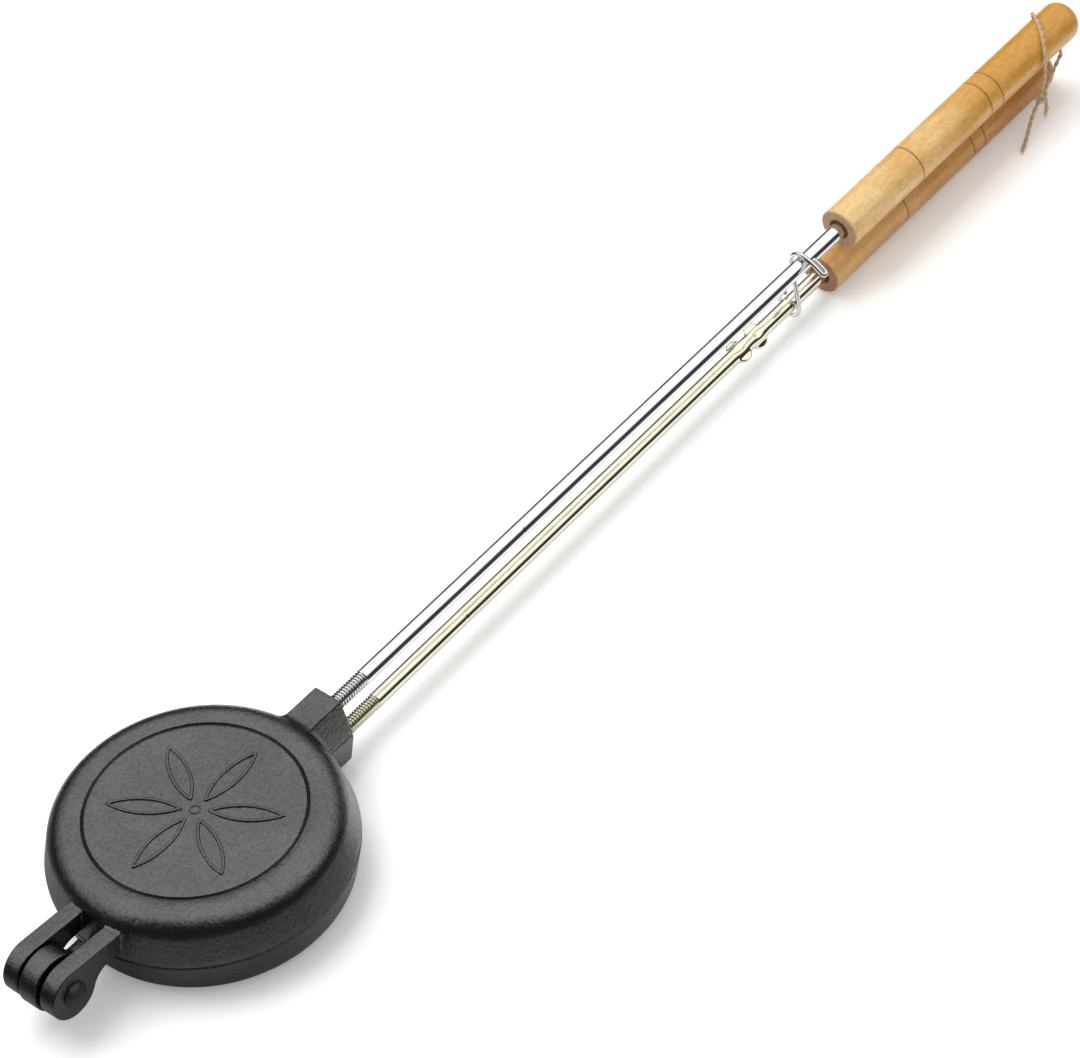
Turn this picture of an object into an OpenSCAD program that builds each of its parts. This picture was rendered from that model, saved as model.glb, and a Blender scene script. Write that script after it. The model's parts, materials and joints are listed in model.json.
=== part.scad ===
// Round pie iron: two cast iron dishes joined by a riveted hinge, each screwed
// onto a steel rod with a turned wooden handle, with a wire latch that holds the
// rods together and a twine loop to hang it by.
// Z points up and X runs along the rods towards the handles. The origin is at the
// middle of the head, on the flat face that it rests on.

/* [Head] */
// Width across the head at the parting line
head_d = 112.4; // [106:0.2:120]
// Thickness of one half of the head
half_h = 18.5; // [17.5:0.1:22]
// Radius of the rounded outer corner
corner_r = 9; // [8:0.1:12]
// Side taper, as run over rise
draft = 0.237; // [0.1:0.001:0.3]
// Thickness of the side wall at the parting line
wall = 4.5; // [3.5:0.1:6]
// Thickness of the pressed face
floor_t = 4.5; // [3.5:0.1:6]
// Radius between the floor and the side of the cooking pocket
pocket_r = 6.8; // [4:0.1:9]
// Gap left between the two halves when closed
seam = 0.3; // [0.2:0.05:0.6]

/* [Face] */
// Radius of the engraved ring
ring_r = 39.8; // [36:0.1:41]
// Width of the engraved ring
ring_w = 1; // [0.6:0.1:1.6]
// Depth of the engraved ring
ring_depth = 0.6; // [0.3:0.1:1]
// Distance from the middle of the face to the tips of the raised petals
petal_r = 33; // [26:0.5:35]
// Distance from the middle of the face to the root of each petal
petal_root = 4; // [3:0.5:8]
// Width of the petals' raised outline
petal_line = 1.2; // [0.8:0.1:2]
// Radius of the raised dot in the middle
dot_r = 2; // [1:0.1:2.5]
// Height of the raised petals and dot
petal_rise = 0.6; // [0.4:0.1:1]

/* [Hinge] */
// Distance from the middle of the head to the hinge pin
pin_reach = 77; // [75:0.5:84]
// Height of the hinge pin above the parting line
pin_rise = 4.1; // [3:0.1:5]
// Width over both ears of the upper iron
clevis_w = 24.6; // [22:0.2:28]
// Thickness of one ear
ear_t = 6.9; // [5:0.1:7.5]
// Radius of the ear's eye
ear_r = 10.3; // [9:0.1:10.9]
// Height of the underside of the ear's root above the parting line
ear_root = 4; // [3:0.1:6]
// Fall of the ear's top edge towards the head, in degrees
ear_fall = 4; // [0:0.5:6]
// Radius of the hollow under the ear
ear_crook = 9; // [6:0.5:10]
// Width of the lower iron's knuckle
knuckle_w = 8; // [5:0.1:9]
// Radius of the knuckle
knuckle_r = 11; // [9.5:0.1:12]
// Height of the underside of the knuckle's arm above the rest face
arm_foot = 10.5; // [8:0.5:12]
// Radius of the hollow between the knuckle and its arm
knuckle_crook = 3; // [2:0.5:5]
// Clearance between the knuckle's arm and the upper iron
arm_gap = 1; // [0.8:0.1:1.5]
// Run of the step where the arm drops under the upper iron
arm_step = 1.2; // [0.8:0.1:2]
// Diameter of the rivet's shank
rivet_d = 5; // [4:0.1:6]
// Diameter of the rivet's domed heads
rivet_head_d = 9.8; // [7:0.1:11]
// Height of the rivet's domed heads
rivet_head_h = 3.4; // [1.5:0.1:4]
// Clearance round the rivet in the knuckle
running_fit = 0.05; // [0.02:0.01:0.1]

/* [Boss] */
// Distance from the middle of the head to the end of the boss
boss_end = 69; // [66:0.5:76]
// Width of the closed boss at its flat top
boss_top_w = 12; // [10:0.5:15]
// Width of the closed boss at the parting line
boss_mid_w = 19.5; // [17:0.5:24]
// Height of the boss above the parting line
boss_rise = 15.3; // [13:0.1:17]
// Depth of the tapped hole in the boss
tap_depth = 14; // [10:0.5:14.5]

/* [Rods] */
// Diameter of the rods
rod_d = 6.35; // [5:0.05:7]
// Distance between the rods where they leave the boss
rod_spacing = 15.9; // [15.5:0.1:17]
// Rise of the upper rod, as rise over run
upper_rise = 0.012; // [0.01:0.001:0.02]
// Fall of the lower rod, as fall over run
lower_fall = 0.004; // [0:0.001:0.005]
// Sideways lean of the lower rod, as side over run
lower_side = 0.018; // [0.01:0.001:0.02]
// Pitch of the thread
pitch = 1.27; // [1:0.01:1.5]
// Depth of the thread
thread_depth = 0.6; // [0.3:0.05:0.8]
// Clearance round the thread in the boss
thread_fit = 0.05; // [0.02:0.01:0.1]
// Length of thread that shows on the upper rod
upper_thread = 17.3; // [12:0.1:25]
// Length of thread that shows on the lower rod
lower_thread = 21.2; // [12:0.1:25]
// Length of rod inside a handle
rod_seat = 60; // [40:1:110]
// Distance from the boss to the first crimp on the lower rod
crimp_at = 234.2; // [150:0.1:240]
// Distance between the two crimps
crimp_step = 10.2; // [10:0.1:13]
// Height that a crimp's ears stand proud of the rod
crimp_rise = 2.3; // [2:0.1:3.5]
// Thickness of a crimp's ears
crimp_t = 1.8; // [1:0.1:2.5]

/* [Handles] */
// Diameter of a handle
handle_d = 16.9; // [14:0.1:17]
// Length of a handle
handle_len = 147; // [135:1:160]
// Distance from the boss to the upper handle
upper_handle_at = 292.3; // [290:0.1:294]
// Distance from the boss to the lower handle
lower_handle_at = 285; // [283:0.1:290]
// Distance from the near end of the handle to its first turned line
line_1 = 42.6; // [20:0.1:70]
// Distance from the near end of the handle to its second turned line
line_2 = 86; // [75:0.1:90]
// Distance between the second and third turned lines
line_gap = 7.3; // [4:0.1:12]
// Distance that the lines on the lower handle lie further along
lower_line_shift = 3.1; // [0:0.1:8]
// Width of a turned line
line_w = 0.9; // [0.5:0.1:1.5]
// Depth of a turned line
line_depth = 0.35; // [0.2:0.05:0.8]
// Length of the rounded far end
tip_len = 6.5; // [4:0.5:10]
// Radius of the eased near edge
near_edge = 0.8; // [0.3:0.1:1.5]
// Diameter of the counterbore round the rod
mouth_d = 8.4; // [7.6:0.1:10]
// Depth of the counterbore
mouth_depth = 3; // [1:0.5:6]
// Distance from the hanging hole to the far end
hole_from_tip = 14.4; // [10:0.1:16]
// Diameter of the hanging hole
hole_d = 3.4; // [3:0.1:5]
// Tilt of the hanging hole from level, in degrees
hole_tilt = 42; // [20:1:45]

/* [Latch] */
// Diameter of the latch wire
wire_d = 1.9; // [1.4:0.1:2]
// Distance from the boss to the latch
latch_at = 265.6; // [258:0.1:268]
// Clearance between the wire and each rod
latch_gap = 0.7; // [0.5:0.05:0.8]
// Extent of the closed eye round the lower rod, in degrees
eye_sweep = 258; // [220:1:265]
// Extent of the hook past the upper rod, in degrees
hook_over = 22; // [15:1:30]
// Width of the thumb bend at the end of the hook
tab_w = 2.1; // [2:0.1:4]
// Extent of the wire that returns from the thumb bend, in degrees
tab_back = 13; // [5:1:14]
// Lean of the latch towards the handles, in degrees
lean = 9; // [0:1:10]

/* [Twine] */
// Diameter of the twine
twine_d = 1.7; // [1.6:0.1:2.4]
// Diameter of the knot
knot_d = 5.4; // [5:0.1:6.6]

/* [Hidden] */
$fn = 96;

head_r = head_d / 2;
head_h = 2 * half_h;
rod_r = rod_d / 2;
handle_r = handle_d / 2;
over = 1;                    // cuts run this far past the face that they open
arc_steps = 12;
boss_root = ring_r;          // the boss and the hinge arms start inside the rim
pin_z = half_h + pin_rise;

// Angle of the side taper from upright
side_angle = atan(draft);
// Radius of the flat outer face
flat_r = head_r - draft * (half_h - corner_r) - corner_r / cos(side_angle);

// Crimp ears are discs that stand out of the rod by crimp_rise
crimp_chord = 7.8;
crimp_disc_r = (pow(crimp_chord / 2, 2) + pow(crimp_rise, 2)) / (2 * crimp_rise);
crimp_turns = [103, 128];

// Route of the long twine: out of the hole's left mouth, over the handle, down
// through the knot and along the table
long_route = [
    [493.9, 0, 31.55], [493.9, 3.6, 34.8], [493.9, 6.2, 37.15], [493.6, 6.7, 38.5],
    [492.8, 5.9, 39.9], [491.6, 4.2, 40.8], [489.9, 1.7, 41.15], [487.8, -1.3, 40.95],
    [485.1, -4.5, 39.85], [482.5, -7.2, 37.7], [480.8, -8.9, 35], [480, -9.5, 31.4],
    [479.5, -9.6, 27], [479, -9.1, 22], [478.4, -8.6, 17.5], [477.4, -8, 14],
    [475.9, -7.5, 11], [473.6, -7.3, 8], [470.7, -7.8, 4.9], [466.9, -9.1, 2.5],
    [463.1, -10.6, 1.3], [461, -11.4, 1.1]
];
// Route of the short twine: out of the hole's right mouth, down and through the knot
short_route = [
    [493.9, 0, 31.55], [493.9, -3.6, 28.3], [493.8, -6.1, 26.1], [493.3, -7, 24.8],
    [492, -7.2, 24.1], [490.2, -7.4, 23], [487.6, -7.7, 21.4], [484.6, -8, 19.8],
    [481.8, -8.6, 18.2], [479.7, -9.2, 16.4], [478.7, -9.8, 14], [478.3, -10.4, 11.5],
    [477.7, -10.8, 9.4], [477.1, -11, 8.5]
];
knot_at = [477.3, -8.5, 14.2];
twine_sides = 8;
wire_sides = 12;
bend_step = 10;              // degrees between the rings of a bent wire

// Points of an arc in a plane, from one angle to another
function arc(c, r, a0, a1) =
    [for (i = [0:arc_steps]) c + r * [cos(a0 + (a1 - a0) * i / arc_steps), sin(a0 + (a1 - a0) * i / arc_steps)]];

// Radius of the outside of a half at height z above its face
function side_r(z) = head_r - draft * (half_h - z);

// Outline of half a dish from its face upwards: flat face, rounded corner, tapered side
function dish_outline(top) = concat(
    [[0, 0]],
    arc([flat_r, corner_r], corner_r, -90, -side_angle),
    [[side_r(top), top], [0, top]]
);

// Outline of the cooking pocket, from its floor to past the parting line
function pocket_outline(top) =
    let (mouth_r = head_r - wall,
         floor_r = mouth_r - draft * (half_h - floor_t - pocket_r) - pocket_r / cos(side_angle))
    concat(
        [[0, floor_t]],
        arc([floor_r, floor_t + pocket_r], pocket_r, -90, -side_angle),
        [[mouth_r + draft * (top - half_h), top], [0, top]]
    );

// Direction from the pin to the centre of a hollow that touches an eye of radius r,
// where the hollow's centre lies at height z from the pin
function crook_angle(r, crook, z) = asin(z / (r + crook));

// One half dish with its engraved ring, standing on its face
module dish() {
    difference() {
        rotate_extrude() polygon(dish_outline(half_h - seam / 2));
        engraved_ring();
    }
}

module engraved_ring() {
    rotate_extrude()
        polygon([
            [ring_r - ring_w / 2, -over], [ring_r - ring_w / 2, 0],
            [ring_r - ring_w / 4, ring_depth], [ring_r + ring_w / 4, ring_depth],
            [ring_r + ring_w / 2, 0], [ring_r + ring_w / 2, -over]
        ]);
}

module pocket() {
    rotate_extrude() polygon(pocket_outline(half_h + over));
}

// Half of the six-sided boss, from its flat side to the parting line
module half_boss() {
    translate([boss_root, 0, half_h])
        rotate([90, 0, 90])
            linear_extrude(boss_end - boss_root)
                polygon([
                    [-boss_top_w / 2, -boss_rise], [boss_top_w / 2, -boss_rise],
                    [boss_mid_w / 2, -seam / 2], [-boss_mid_w / 2, -seam / 2]
                ]);
}

// Pointed leaf along X from the petal's root to its tip, drawn in by an inset: the
// overlap of two discs whose radius is the leaf's length
module leaf(inset, h) {
    length = petal_r - petal_root;
    intersection_for (side = [-1, 1])
        translate([petal_root + length * cos(60), side * length * sin(60), 0])
            cylinder(r = length - inset, h = h);
}

// Six raised petal outlines round a raised dot
module rosette() {
    cylinder(r = dot_r, h = petal_rise);
    for (a = [0:60:300])
        rotate([0, 0, a])
            difference() {
                leaf(0, petal_rise);
                translate([0, 0, -over]) leaf(petal_line, petal_rise + 2 * over);
            }
}

// Side outline of an ear: round eye, top that falls to the head, hollow underside
module ear_outline() {
    root = pin_reach - boss_root;
    hollow = crook_angle(ear_r, ear_crook, ear_root - pin_rise - ear_crook);
    centre = (ear_r + ear_crook) * [cos(hollow), sin(hollow)];
    polygon(concat(
        [[root, ear_r / cos(ear_fall) - root * tan(ear_fall)]],
        arc([0, 0], ear_r, 90 - ear_fall, 360 + hollow),
        arc(centre, ear_crook, 180 + hollow, 90),
        [[root, ear_root - pin_rise]]
    ));
}

// Side outline of the knuckle: a round eye, an arm at the height of the pin that steps
// down under the upper iron, and an underside that leaves the eye as a tangent
module knuckle_outline() {
    root = pin_reach - boss_root;
    arm_top = -pin_rise - seam;
    arm_low = arm_foot - pin_z;
    foot = [pin_reach - side_r(arm_foot), arm_low];
    tangent = 360 + atan2(foot[1], foot[0]) - acos(knuckle_r / norm(foot));
    hollow = crook_angle(knuckle_r, knuckle_crook, knuckle_crook);
    centre = (knuckle_r + knuckle_crook) * [cos(hollow), sin(hollow)];
    step = pin_reach - head_r - arm_gap;
    polygon(concat(
        arc([0, 0], knuckle_r, hollow, tangent),
        [foot, [root, arm_low], [root, arm_top], [step, arm_top], [step - arm_step, 0]],
        arc(centre, knuckle_crook, 270, 180 + hollow)
    ));
}

// A plate of the given thickness in the plane of the hinge, centred on y
module hinge_plate(y, thickness) {
    translate([-pin_reach, y + thickness / 2, pin_z])
        rotate([90, 0, 0])
            linear_extrude(thickness)
                children();
}

module hinge_bore(d) {
    translate([-pin_reach, 0, pin_z])
        rotate([90, 0, 0])
            cylinder(d = d, h = clevis_w + 2 * over, center = true);
}

// Places its children on the upper rod, with their Z along it and 0 at the boss
module on_upper_rod() {
    translate([boss_end, 0, half_h + rod_spacing / 2])
        rotate([0, 90 - atan(upper_rise), 0])
            children();
}

// Places its children on the lower rod in the same way
module on_lower_rod() {
    translate([boss_end, 0, half_h - rod_spacing / 2])
        rotate([0, 90 + atan(lower_fall), atan(lower_side)])
            children();
}

module tapped_hole() {
    translate([0, 0, -tap_depth])
        cylinder(d = rod_d + 2 * thread_fit, h = tap_depth + over);
}

module lower_iron() {
    color([0.16, 0.16, 0.17])
        difference() {
            union() {
                dish();
                half_boss();
                hinge_plate(0, knuckle_w) knuckle_outline();
            }
            pocket();
            hinge_bore(rivet_d + 2 * running_fit);
            on_lower_rod() tapped_hole();
        }
}

module upper_iron() {
    color([0.2, 0.2, 0.21])
        difference() {
            union() {
                translate([0, 0, head_h]) mirror([0, 0, 1]) {
                    dish();
                    half_boss();
                }
                translate([0, 0, head_h]) rosette();
                for (side = [-1, 1])
                    hinge_plate(side * (clevis_w - ear_t) / 2, ear_t) ear_outline();
            }
            translate([0, 0, head_h]) mirror([0, 0, 1]) pocket();
            hinge_bore(rivet_d);
            on_upper_rod() tapped_hole();
        }
}

// Shank through both ears with a domed head on each side
module hinge_rivet() {
    half = clevis_w / 2;
    dome = [for (i = [0:arc_steps])
        [rivet_head_d / 2 * cos(90 * i / arc_steps), half + rivet_head_h * sin(90 * i / arc_steps)]];
    low_dome = [for (i = [arc_steps:-1:0]) [dome[i][0], -dome[i][1]]];
    color([0.14, 0.14, 0.15])
        translate([-pin_reach, 0, pin_z])
            rotate([90, 0, 0])
                rotate_extrude()
                    polygon(concat(low_dome, [[rivet_d / 2, -half], [rivet_d / 2, half]], dome));
}

// Rod with its thread, from the tapped hole to its end inside the handle
module rod(thread_out, length) {
    start = over / 2 - tap_depth;
    turns = floor((thread_out - start) / pitch);
    teeth = [for (i = [0:turns - 1]) each [
        [rod_r - thread_depth, start + i * pitch],
        [rod_r, start + (i + 0.5) * pitch]
    ]];
    rotate_extrude()
        polygon(concat(
            [[0, start]], teeth,
            [[rod_r - thread_depth, start + turns * pitch],
             [rod_r, start + turns * pitch + thread_depth], [rod_r, length], [0, length]]
        ));
}

// Two ears pinched out of the rod, on opposite sides
module crimp() {
    for (side = [-1, 1])
        translate([side * (rod_r + crimp_rise - crimp_disc_r), 0, 0])
            rotate([90, 0, 0])
                cylinder(r = crimp_disc_r, h = crimp_t, center = true);
}

module lower_rod() {
    color([0.78, 0.77, 0.7])
        on_lower_rod() {
            rod(lower_thread, lower_handle_at + rod_seat);
            for (i = [0, 1])
                translate([0, 0, crimp_at + i * crimp_step])
                    rotate([0, 0, crimp_turns[i]])
                        crimp();
        }
}

module upper_rod() {
    color([0.8, 0.83, 0.87])
        on_upper_rod() rod(upper_thread, upper_handle_at + rod_seat);
}

// Turned handle with its near end at 0: three burnt lines and a rounded far end
module handle(shift) {
    lines = [for (z = [line_1, line_2, line_2 + line_gap]) each [
        [handle_r, z + shift - line_w / 2],
        [handle_r - line_depth, z + shift],
        [handle_r, z + shift + line_w / 2]
    ]];
    tip = [for (i = [0:arc_steps])
        [handle_r * cos(90 * i / arc_steps), handle_len - tip_len * (1 - sin(90 * i / arc_steps))]];
    difference() {
        rotate_extrude()
            polygon(concat(
                [[0, 0]], arc([handle_r - near_edge, near_edge], near_edge, -90, 0), lines, tip
            ));
        translate([0, 0, -over]) cylinder(d = rod_d, h = rod_seat + over);
        translate([0, 0, -over]) cylinder(d = mouth_d, h = mouth_depth + over);
    }
}

module lower_handle() {
    color([0.86, 0.66, 0.4])
        on_lower_rod() translate([0, 0, lower_handle_at]) handle(lower_line_shift);
}

module upper_handle() {
    color([0.88, 0.68, 0.42])
        on_upper_rod() translate([0, 0, upper_handle_at])
            difference() {
                handle(0);
                translate([0, 0, handle_len - hole_from_tip])
                    rotate([0, 0, 90 + hole_tilt])
                        rotate([0, 90, 0])
                            cylinder(d = hole_d, h = handle_d + 2 * over, center = true);
            }
}

// Places its children in the plane of the latch: X is the head's Y, Y is up, Z is
// along the rods, and 0 is on the lower rod
module in_latch_plane() {
    on_lower_rod() translate([0, 0, latch_at]) rotate([0, -90, 0]) rotate([0, lean, 0])
        rotate([90, 0, 90])
            children();
}

// Points of a level arc round a centre, over the given sweep
function bend(centre, r, a0, sweep) =
    let (n = ceil(abs(sweep) / bend_step))
    [for (i = [0:n]) let (a = a0 + sweep * i / n) centre + r * [cos(a), sin(a), 0]];

// One wire: an eye round the lower rod, a run that crosses between the rods, a hook
// round the upper rod and a thumb bend that turns back on itself
module latch_wire() {
    bend_r = rod_r + latch_gap + wire_d / 2;
    rise = (rod_spacing + (upper_rise + lower_fall) * latch_at) / cos(lean);
    upper = [-lower_side * latch_at, rise, 0];
    apart = norm(upper);
    toward = atan2(upper[1], upper[0]);
    touch = toward + acos(2 * bend_r / apart);
    reach_r = apart + bend_r;
    tab_end = toward + hook_over;
    tab_steps = 8;
    tab_root = [reach_r * cos(tab_end), reach_r * sin(tab_end), tab_w / 2];
    tab_way = [-sin(tab_end), cos(tab_end), 0];
    thumb = [for (i = [1:tab_steps - 1]) let (a = 180 * i / tab_steps - 90)
        tab_root + tab_w / 2 * (cos(a) * tab_way + [0, 0, sin(a)])];
    color([0.8, 0.8, 0.8])
        in_latch_plane()
            tube(concat(
                bend([0, 0, 0], bend_r, touch + eye_sweep, -eye_sweep),
                bend(upper, bend_r, touch - 180, toward - touch + 180),
                bend([0, 0, 0], reach_r, toward + bend_step / 2, hook_over - bend_step / 2),
                thumb,
                bend([0, 0, tab_w], reach_r, tab_end, -tab_back)
            ), wire_d, wire_sides, [0, 0, 1]);
}

// Direction of a route at point i
function along(route, i) =
    let (v = route[min(i + 1, len(route) - 1)] - route[max(i - 1, 0)]) v / norm(v);

// Side directions carried along a route without twist
function sideways(route, n, i = 0) =
    i == len(route) ? [] :
    let (t = along(route, i), v = n - (n * t) * t, s = v / norm(v))
    concat([s], sideways(route, s, i + 1));

// Tube along a route: a ring of n points square to the route at each of its points
module tube(route, d, n, first_side) {
    last = len(route) - 1;
    sides = sideways(route, first_side);
    points = [for (i = [0:last]) for (k = [0:n - 1])
        route[i] + d / 2 * (cos(360 * k / n) * sides[i]
            + sin(360 * k / n) * cross(along(route, i), sides[i]))];
    skin = [for (i = [0:last - 1]) for (k = [0:n - 1])
        let (a = i * n + k, b = i * n + (k + 1) % n) each [[a, a + n, b + n], [a, b + n, b]]];
    polyhedron(points, concat(
        skin, [[for (k = [0:n - 1]) k]], [[for (k = [n - 1:-1:0]) last * n + k]]
    ));
}

module twine_long() {
    color([0.65, 0.52, 0.38]) tube(long_route, twine_d, twine_sides, [1, 0, 0]);
}

module twine_short() {
    color([0.62, 0.5, 0.36]) tube(short_route, twine_d, twine_sides, [1, 0, 0]);
}

module twine_knot() {
    color([0.6, 0.47, 0.34]) translate(knot_at) sphere(d = knot_d, $fn = 48);
}

lower_iron();
upper_iron();
hinge_rivet();
lower_rod();
upper_rod();
lower_handle();
upper_handle();
latch_wire();
twine_long();
twine_short();
twine_knot();
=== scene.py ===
"""Dresses the round pie iron: cast iron dishes, threaded rods, turned handles, latch and twine."""

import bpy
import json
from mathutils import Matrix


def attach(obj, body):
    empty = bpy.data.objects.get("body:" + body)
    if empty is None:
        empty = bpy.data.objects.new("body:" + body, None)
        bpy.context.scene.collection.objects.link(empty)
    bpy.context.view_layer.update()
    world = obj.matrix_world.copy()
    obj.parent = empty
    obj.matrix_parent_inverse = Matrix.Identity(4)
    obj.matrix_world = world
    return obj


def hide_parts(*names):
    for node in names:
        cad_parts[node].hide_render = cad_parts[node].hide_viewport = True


bl_info = {
    "name": "Round Pie Iron",
    "version": (1, 0, 0),
    "blender": (4, 5, 0),
    "location": "View3D > Sidebar > Pie Iron",
    "description": "Builds the castings, rods, handles, latch and twine of a round pie iron",
    "category": "Add Mesh",
}

import json

import bpy
import numpy as np
from bpy.props import (
    FloatProperty, FloatVectorProperty, IntProperty, PointerProperty,
)
from mathutils import Matrix

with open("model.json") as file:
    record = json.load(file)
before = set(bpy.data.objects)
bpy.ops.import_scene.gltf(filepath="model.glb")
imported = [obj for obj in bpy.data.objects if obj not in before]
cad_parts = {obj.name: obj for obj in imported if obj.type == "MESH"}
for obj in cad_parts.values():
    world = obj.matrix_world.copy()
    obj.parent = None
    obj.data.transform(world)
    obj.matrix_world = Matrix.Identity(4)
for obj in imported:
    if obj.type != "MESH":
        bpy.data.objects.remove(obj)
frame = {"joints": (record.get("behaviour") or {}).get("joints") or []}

MM = 0.001
JOINTS = {joint["name"]: joint for joint in frame["joints"]}
PIN = np.array(JOINTS["head_hinge"]["pos_m"])

# Clearance of a bored hole, and the least step along a bent wire or a cord
SLACK = 0.05 * MM
STEP = 0.3 * MM

# How far the roots of the hinge's plates reach into the head, as distances from its middle, and how far the boss's
# root lies inside the head's side
EAR_FOOT, EAR_TOP = 52.4 * MM, 48.4 * MM
ARM_FOOT, ARM_TOP = 50.8 * MM, 53.8 * MM
BOSS_ROOT = 2.2 * MM
PLATE_FILLET = 0.6 * MM

# Angles round the rods, in degrees: where the clamp's mark faces, and how each crimp is turned
NICK_FACING = 225
CRIMP_TURNS = (103, 128)

# Where the wood's stain deepens along X, and the painted shade that darkens and reddens the lower handle, standing in
# for the upper handle's shadow
STAIN = (0.365, 0.475)
LOWER_PAINTED_SHADE = (0.8, 0.66, 0.52)

# What shiny things mirror. Of the floor, white starts along X, ends on both sides in Y and lies round the head, by
# the square of the distance. Of the sky, brightness rises with height, on the near side later
STRIP_START, STRIP_NEAR, STRIP_FAR = (-0.05, 0.0), (-0.075, -0.045), (0.17, 0.13)
ROUND_HEAD = (0.022, 0.01)
FAR_RISE, NEAR_RISE = (0.28, 0.62), (0.63, 0.81)

# Routes of the twine, in millimetres: the long end goes out of the hole's left mouth, over the handle, down through
# the knot and along the table, and the short end out of the right mouth and down through the knot
LONG_ROUTE = (
    (493.9, 0, 31.55), (493.9, 3.6, 34.8), (493.9, 6.2, 37.15), (493.6, 6.7, 38.5), (492.8, 5.9, 39.9),
    (491.6, 4.2, 40.8), (489.9, 1.7, 41.15), (487.8, -1.3, 40.95), (485.1, -4.5, 39.85), (482.5, -7.2, 37.7),
    (480.8, -8.9, 35), (480, -9.5, 31.4), (479.5, -9.6, 27), (479, -9.1, 22), (478.4, -8.6, 17.5),
    (477.4, -8, 14), (475.9, -7.5, 11), (473.6, -7.3, 8), (470.7, -7.8, 4.9), (466.9, -9.1, 2.5),
    (463.1, -10.6, 1.3), (461, -11.4, 1.1),
)
SHORT_ROUTE = (
    (493.9, 0, 31.55), (493.9, -3.6, 28.3), (493.8, -6.1, 26.1), (493.3, -7, 24.8), (492, -7.2, 24.1),
    (490.2, -7.4, 23), (487.6, -7.7, 21.4), (484.6, -8, 19.8), (481.8, -8.6, 18.2), (479.7, -9.2, 16.4),
    (478.7, -9.8, 14), (478.3, -10.4, 11.5), (477.7, -10.8, 9.4), (477.1, -11, 8.5),
)
KNOT_AT = (477.3, -8.5, 14.2)
TWINE_COLUMNS = 28
TWINE_ANGLE = 70


def length(name, description, mm):
    """A length property whose default is given in millimetres."""
    return FloatProperty(name=name, description=description, default=mm * MM, unit="LENGTH", precision=5)


def slope(name, description, value):
    """A taper or lean, as run over rise."""
    return FloatProperty(name=name, description=description, default=value, precision=4)


def tint(name, description, value):
    """A colour, in linear light."""
    return FloatVectorProperty(
        name=name, description=description, default=value, size=3, subtype="COLOR", min=0.0, max=1.0)


class HeadSettings(bpy.types.PropertyGroup):
    """Sizes of the two cast halves of the head."""

    radius: length("Radius", "Radius of the head at the parting line", 56.2)
    half_height: length("Half height", "Thickness of one half of the head", 18.5)
    corner: length("Corner", "Radius of the rounded outer corner", 9.0)
    draft: slope("Draft", "Taper of the sides, as run over rise", 0.237)
    wall: length("Wall", "Thickness of the side wall at the parting line", 4.5)
    floor: length("Floor", "Thickness of the pressed face", 4.5)
    pocket_corner: length("Pocket corner", "Radius between the pocket's floor and side", 6.8)
    seam: length("Seam", "Gap between the two halves", 0.4)
    edge: length("Edge", "Radius worn onto the cast edges", 0.55)
    fillet: length("Fillet", "Radius where the boss and the ears meet the head", 2.6)
    wobble: length("Wobble", "Unevenness of the sand-cast sides", 0.07)
    ring_radius: length("Ring radius", "Radius of the engraved ring", 39.8)
    ring_width: length("Ring width", "Width of the engraved ring", 1.5)
    ring_depth: length("Ring depth", "Depth of the engraved ring", 0.6)
    petal_tip: length("Petal tip", "Distance from the middle of the face to the petal tips", 33.0)
    petal_root: length("Petal root", "Distance from the middle of the face to the petal roots", 4.0)
    petal_line: length("Petal line", "Width of the petals' raised outline", 1.2)
    petal_rise: length("Petal rise", "Height of the petals' raised outline", 0.6)
    dot: length("Dot", "Radius of the raised dot in the middle", 2.0)


class HingeSettings(bpy.types.PropertyGroup):
    """Sizes of the ears, the knuckle and the rivet."""

    clevis: length("Clevis", "Width over both ears", 24.6)
    ear: length("Ear", "Thickness of one ear", 6.9)
    ear_radius: length("Ear radius", "Radius of the ear's eye", 10.3)
    ear_root: length("Ear root", "Height of the ear's underside above the parting line", 4.0)
    ear_fall: FloatProperty(
        name="Ear fall", description="Fall of the ear's top edge towards the head, in degrees", default=4)
    ear_crook: length("Ear crook", "Radius of the hollow under the ear", 9.0)
    knuckle: length("Knuckle", "Width of the knuckle", 8.0)
    knuckle_radius: length("Knuckle radius", "Radius of the knuckle", 11.0)
    arm_foot: length("Arm foot", "Height of the arm's underside above the rest face", 10.5)
    arm_gap: length("Arm gap", "Clearance between the arm and the upper casting", 1.0)
    arm_step: length("Arm step", "Run of the step where the arm drops under the upper casting", 1.2)
    knuckle_crook: length("Knuckle crook", "Radius of the hollow between the knuckle and its arm", 3.0)
    rivet: length("Rivet", "Radius of the rivet's shank", 2.5)
    rivet_head: length("Rivet head", "Radius of the rivet's domed heads", 4.9)
    rivet_rise: length("Rivet rise", "Height of the rivet's domed heads", 3.4)


class BossSettings(bpy.types.PropertyGroup):
    """Sizes of the six-sided boss that the rods are screwed into."""

    end: length("End", "Distance from the middle of the head to the end of the boss", 69.0)
    top: length("Top", "Width at the flat top", 12.0)
    middle: length("Middle", "Width at the parting line", 19.5)
    rise: length("Rise", "Height above the parting line", 15.3)
    seam: length("Seam", "Gap between the halves of the boss", 0.6)
    tap_depth: length("Tap depth", "Depth of the tapped hole", 14.0)


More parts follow.
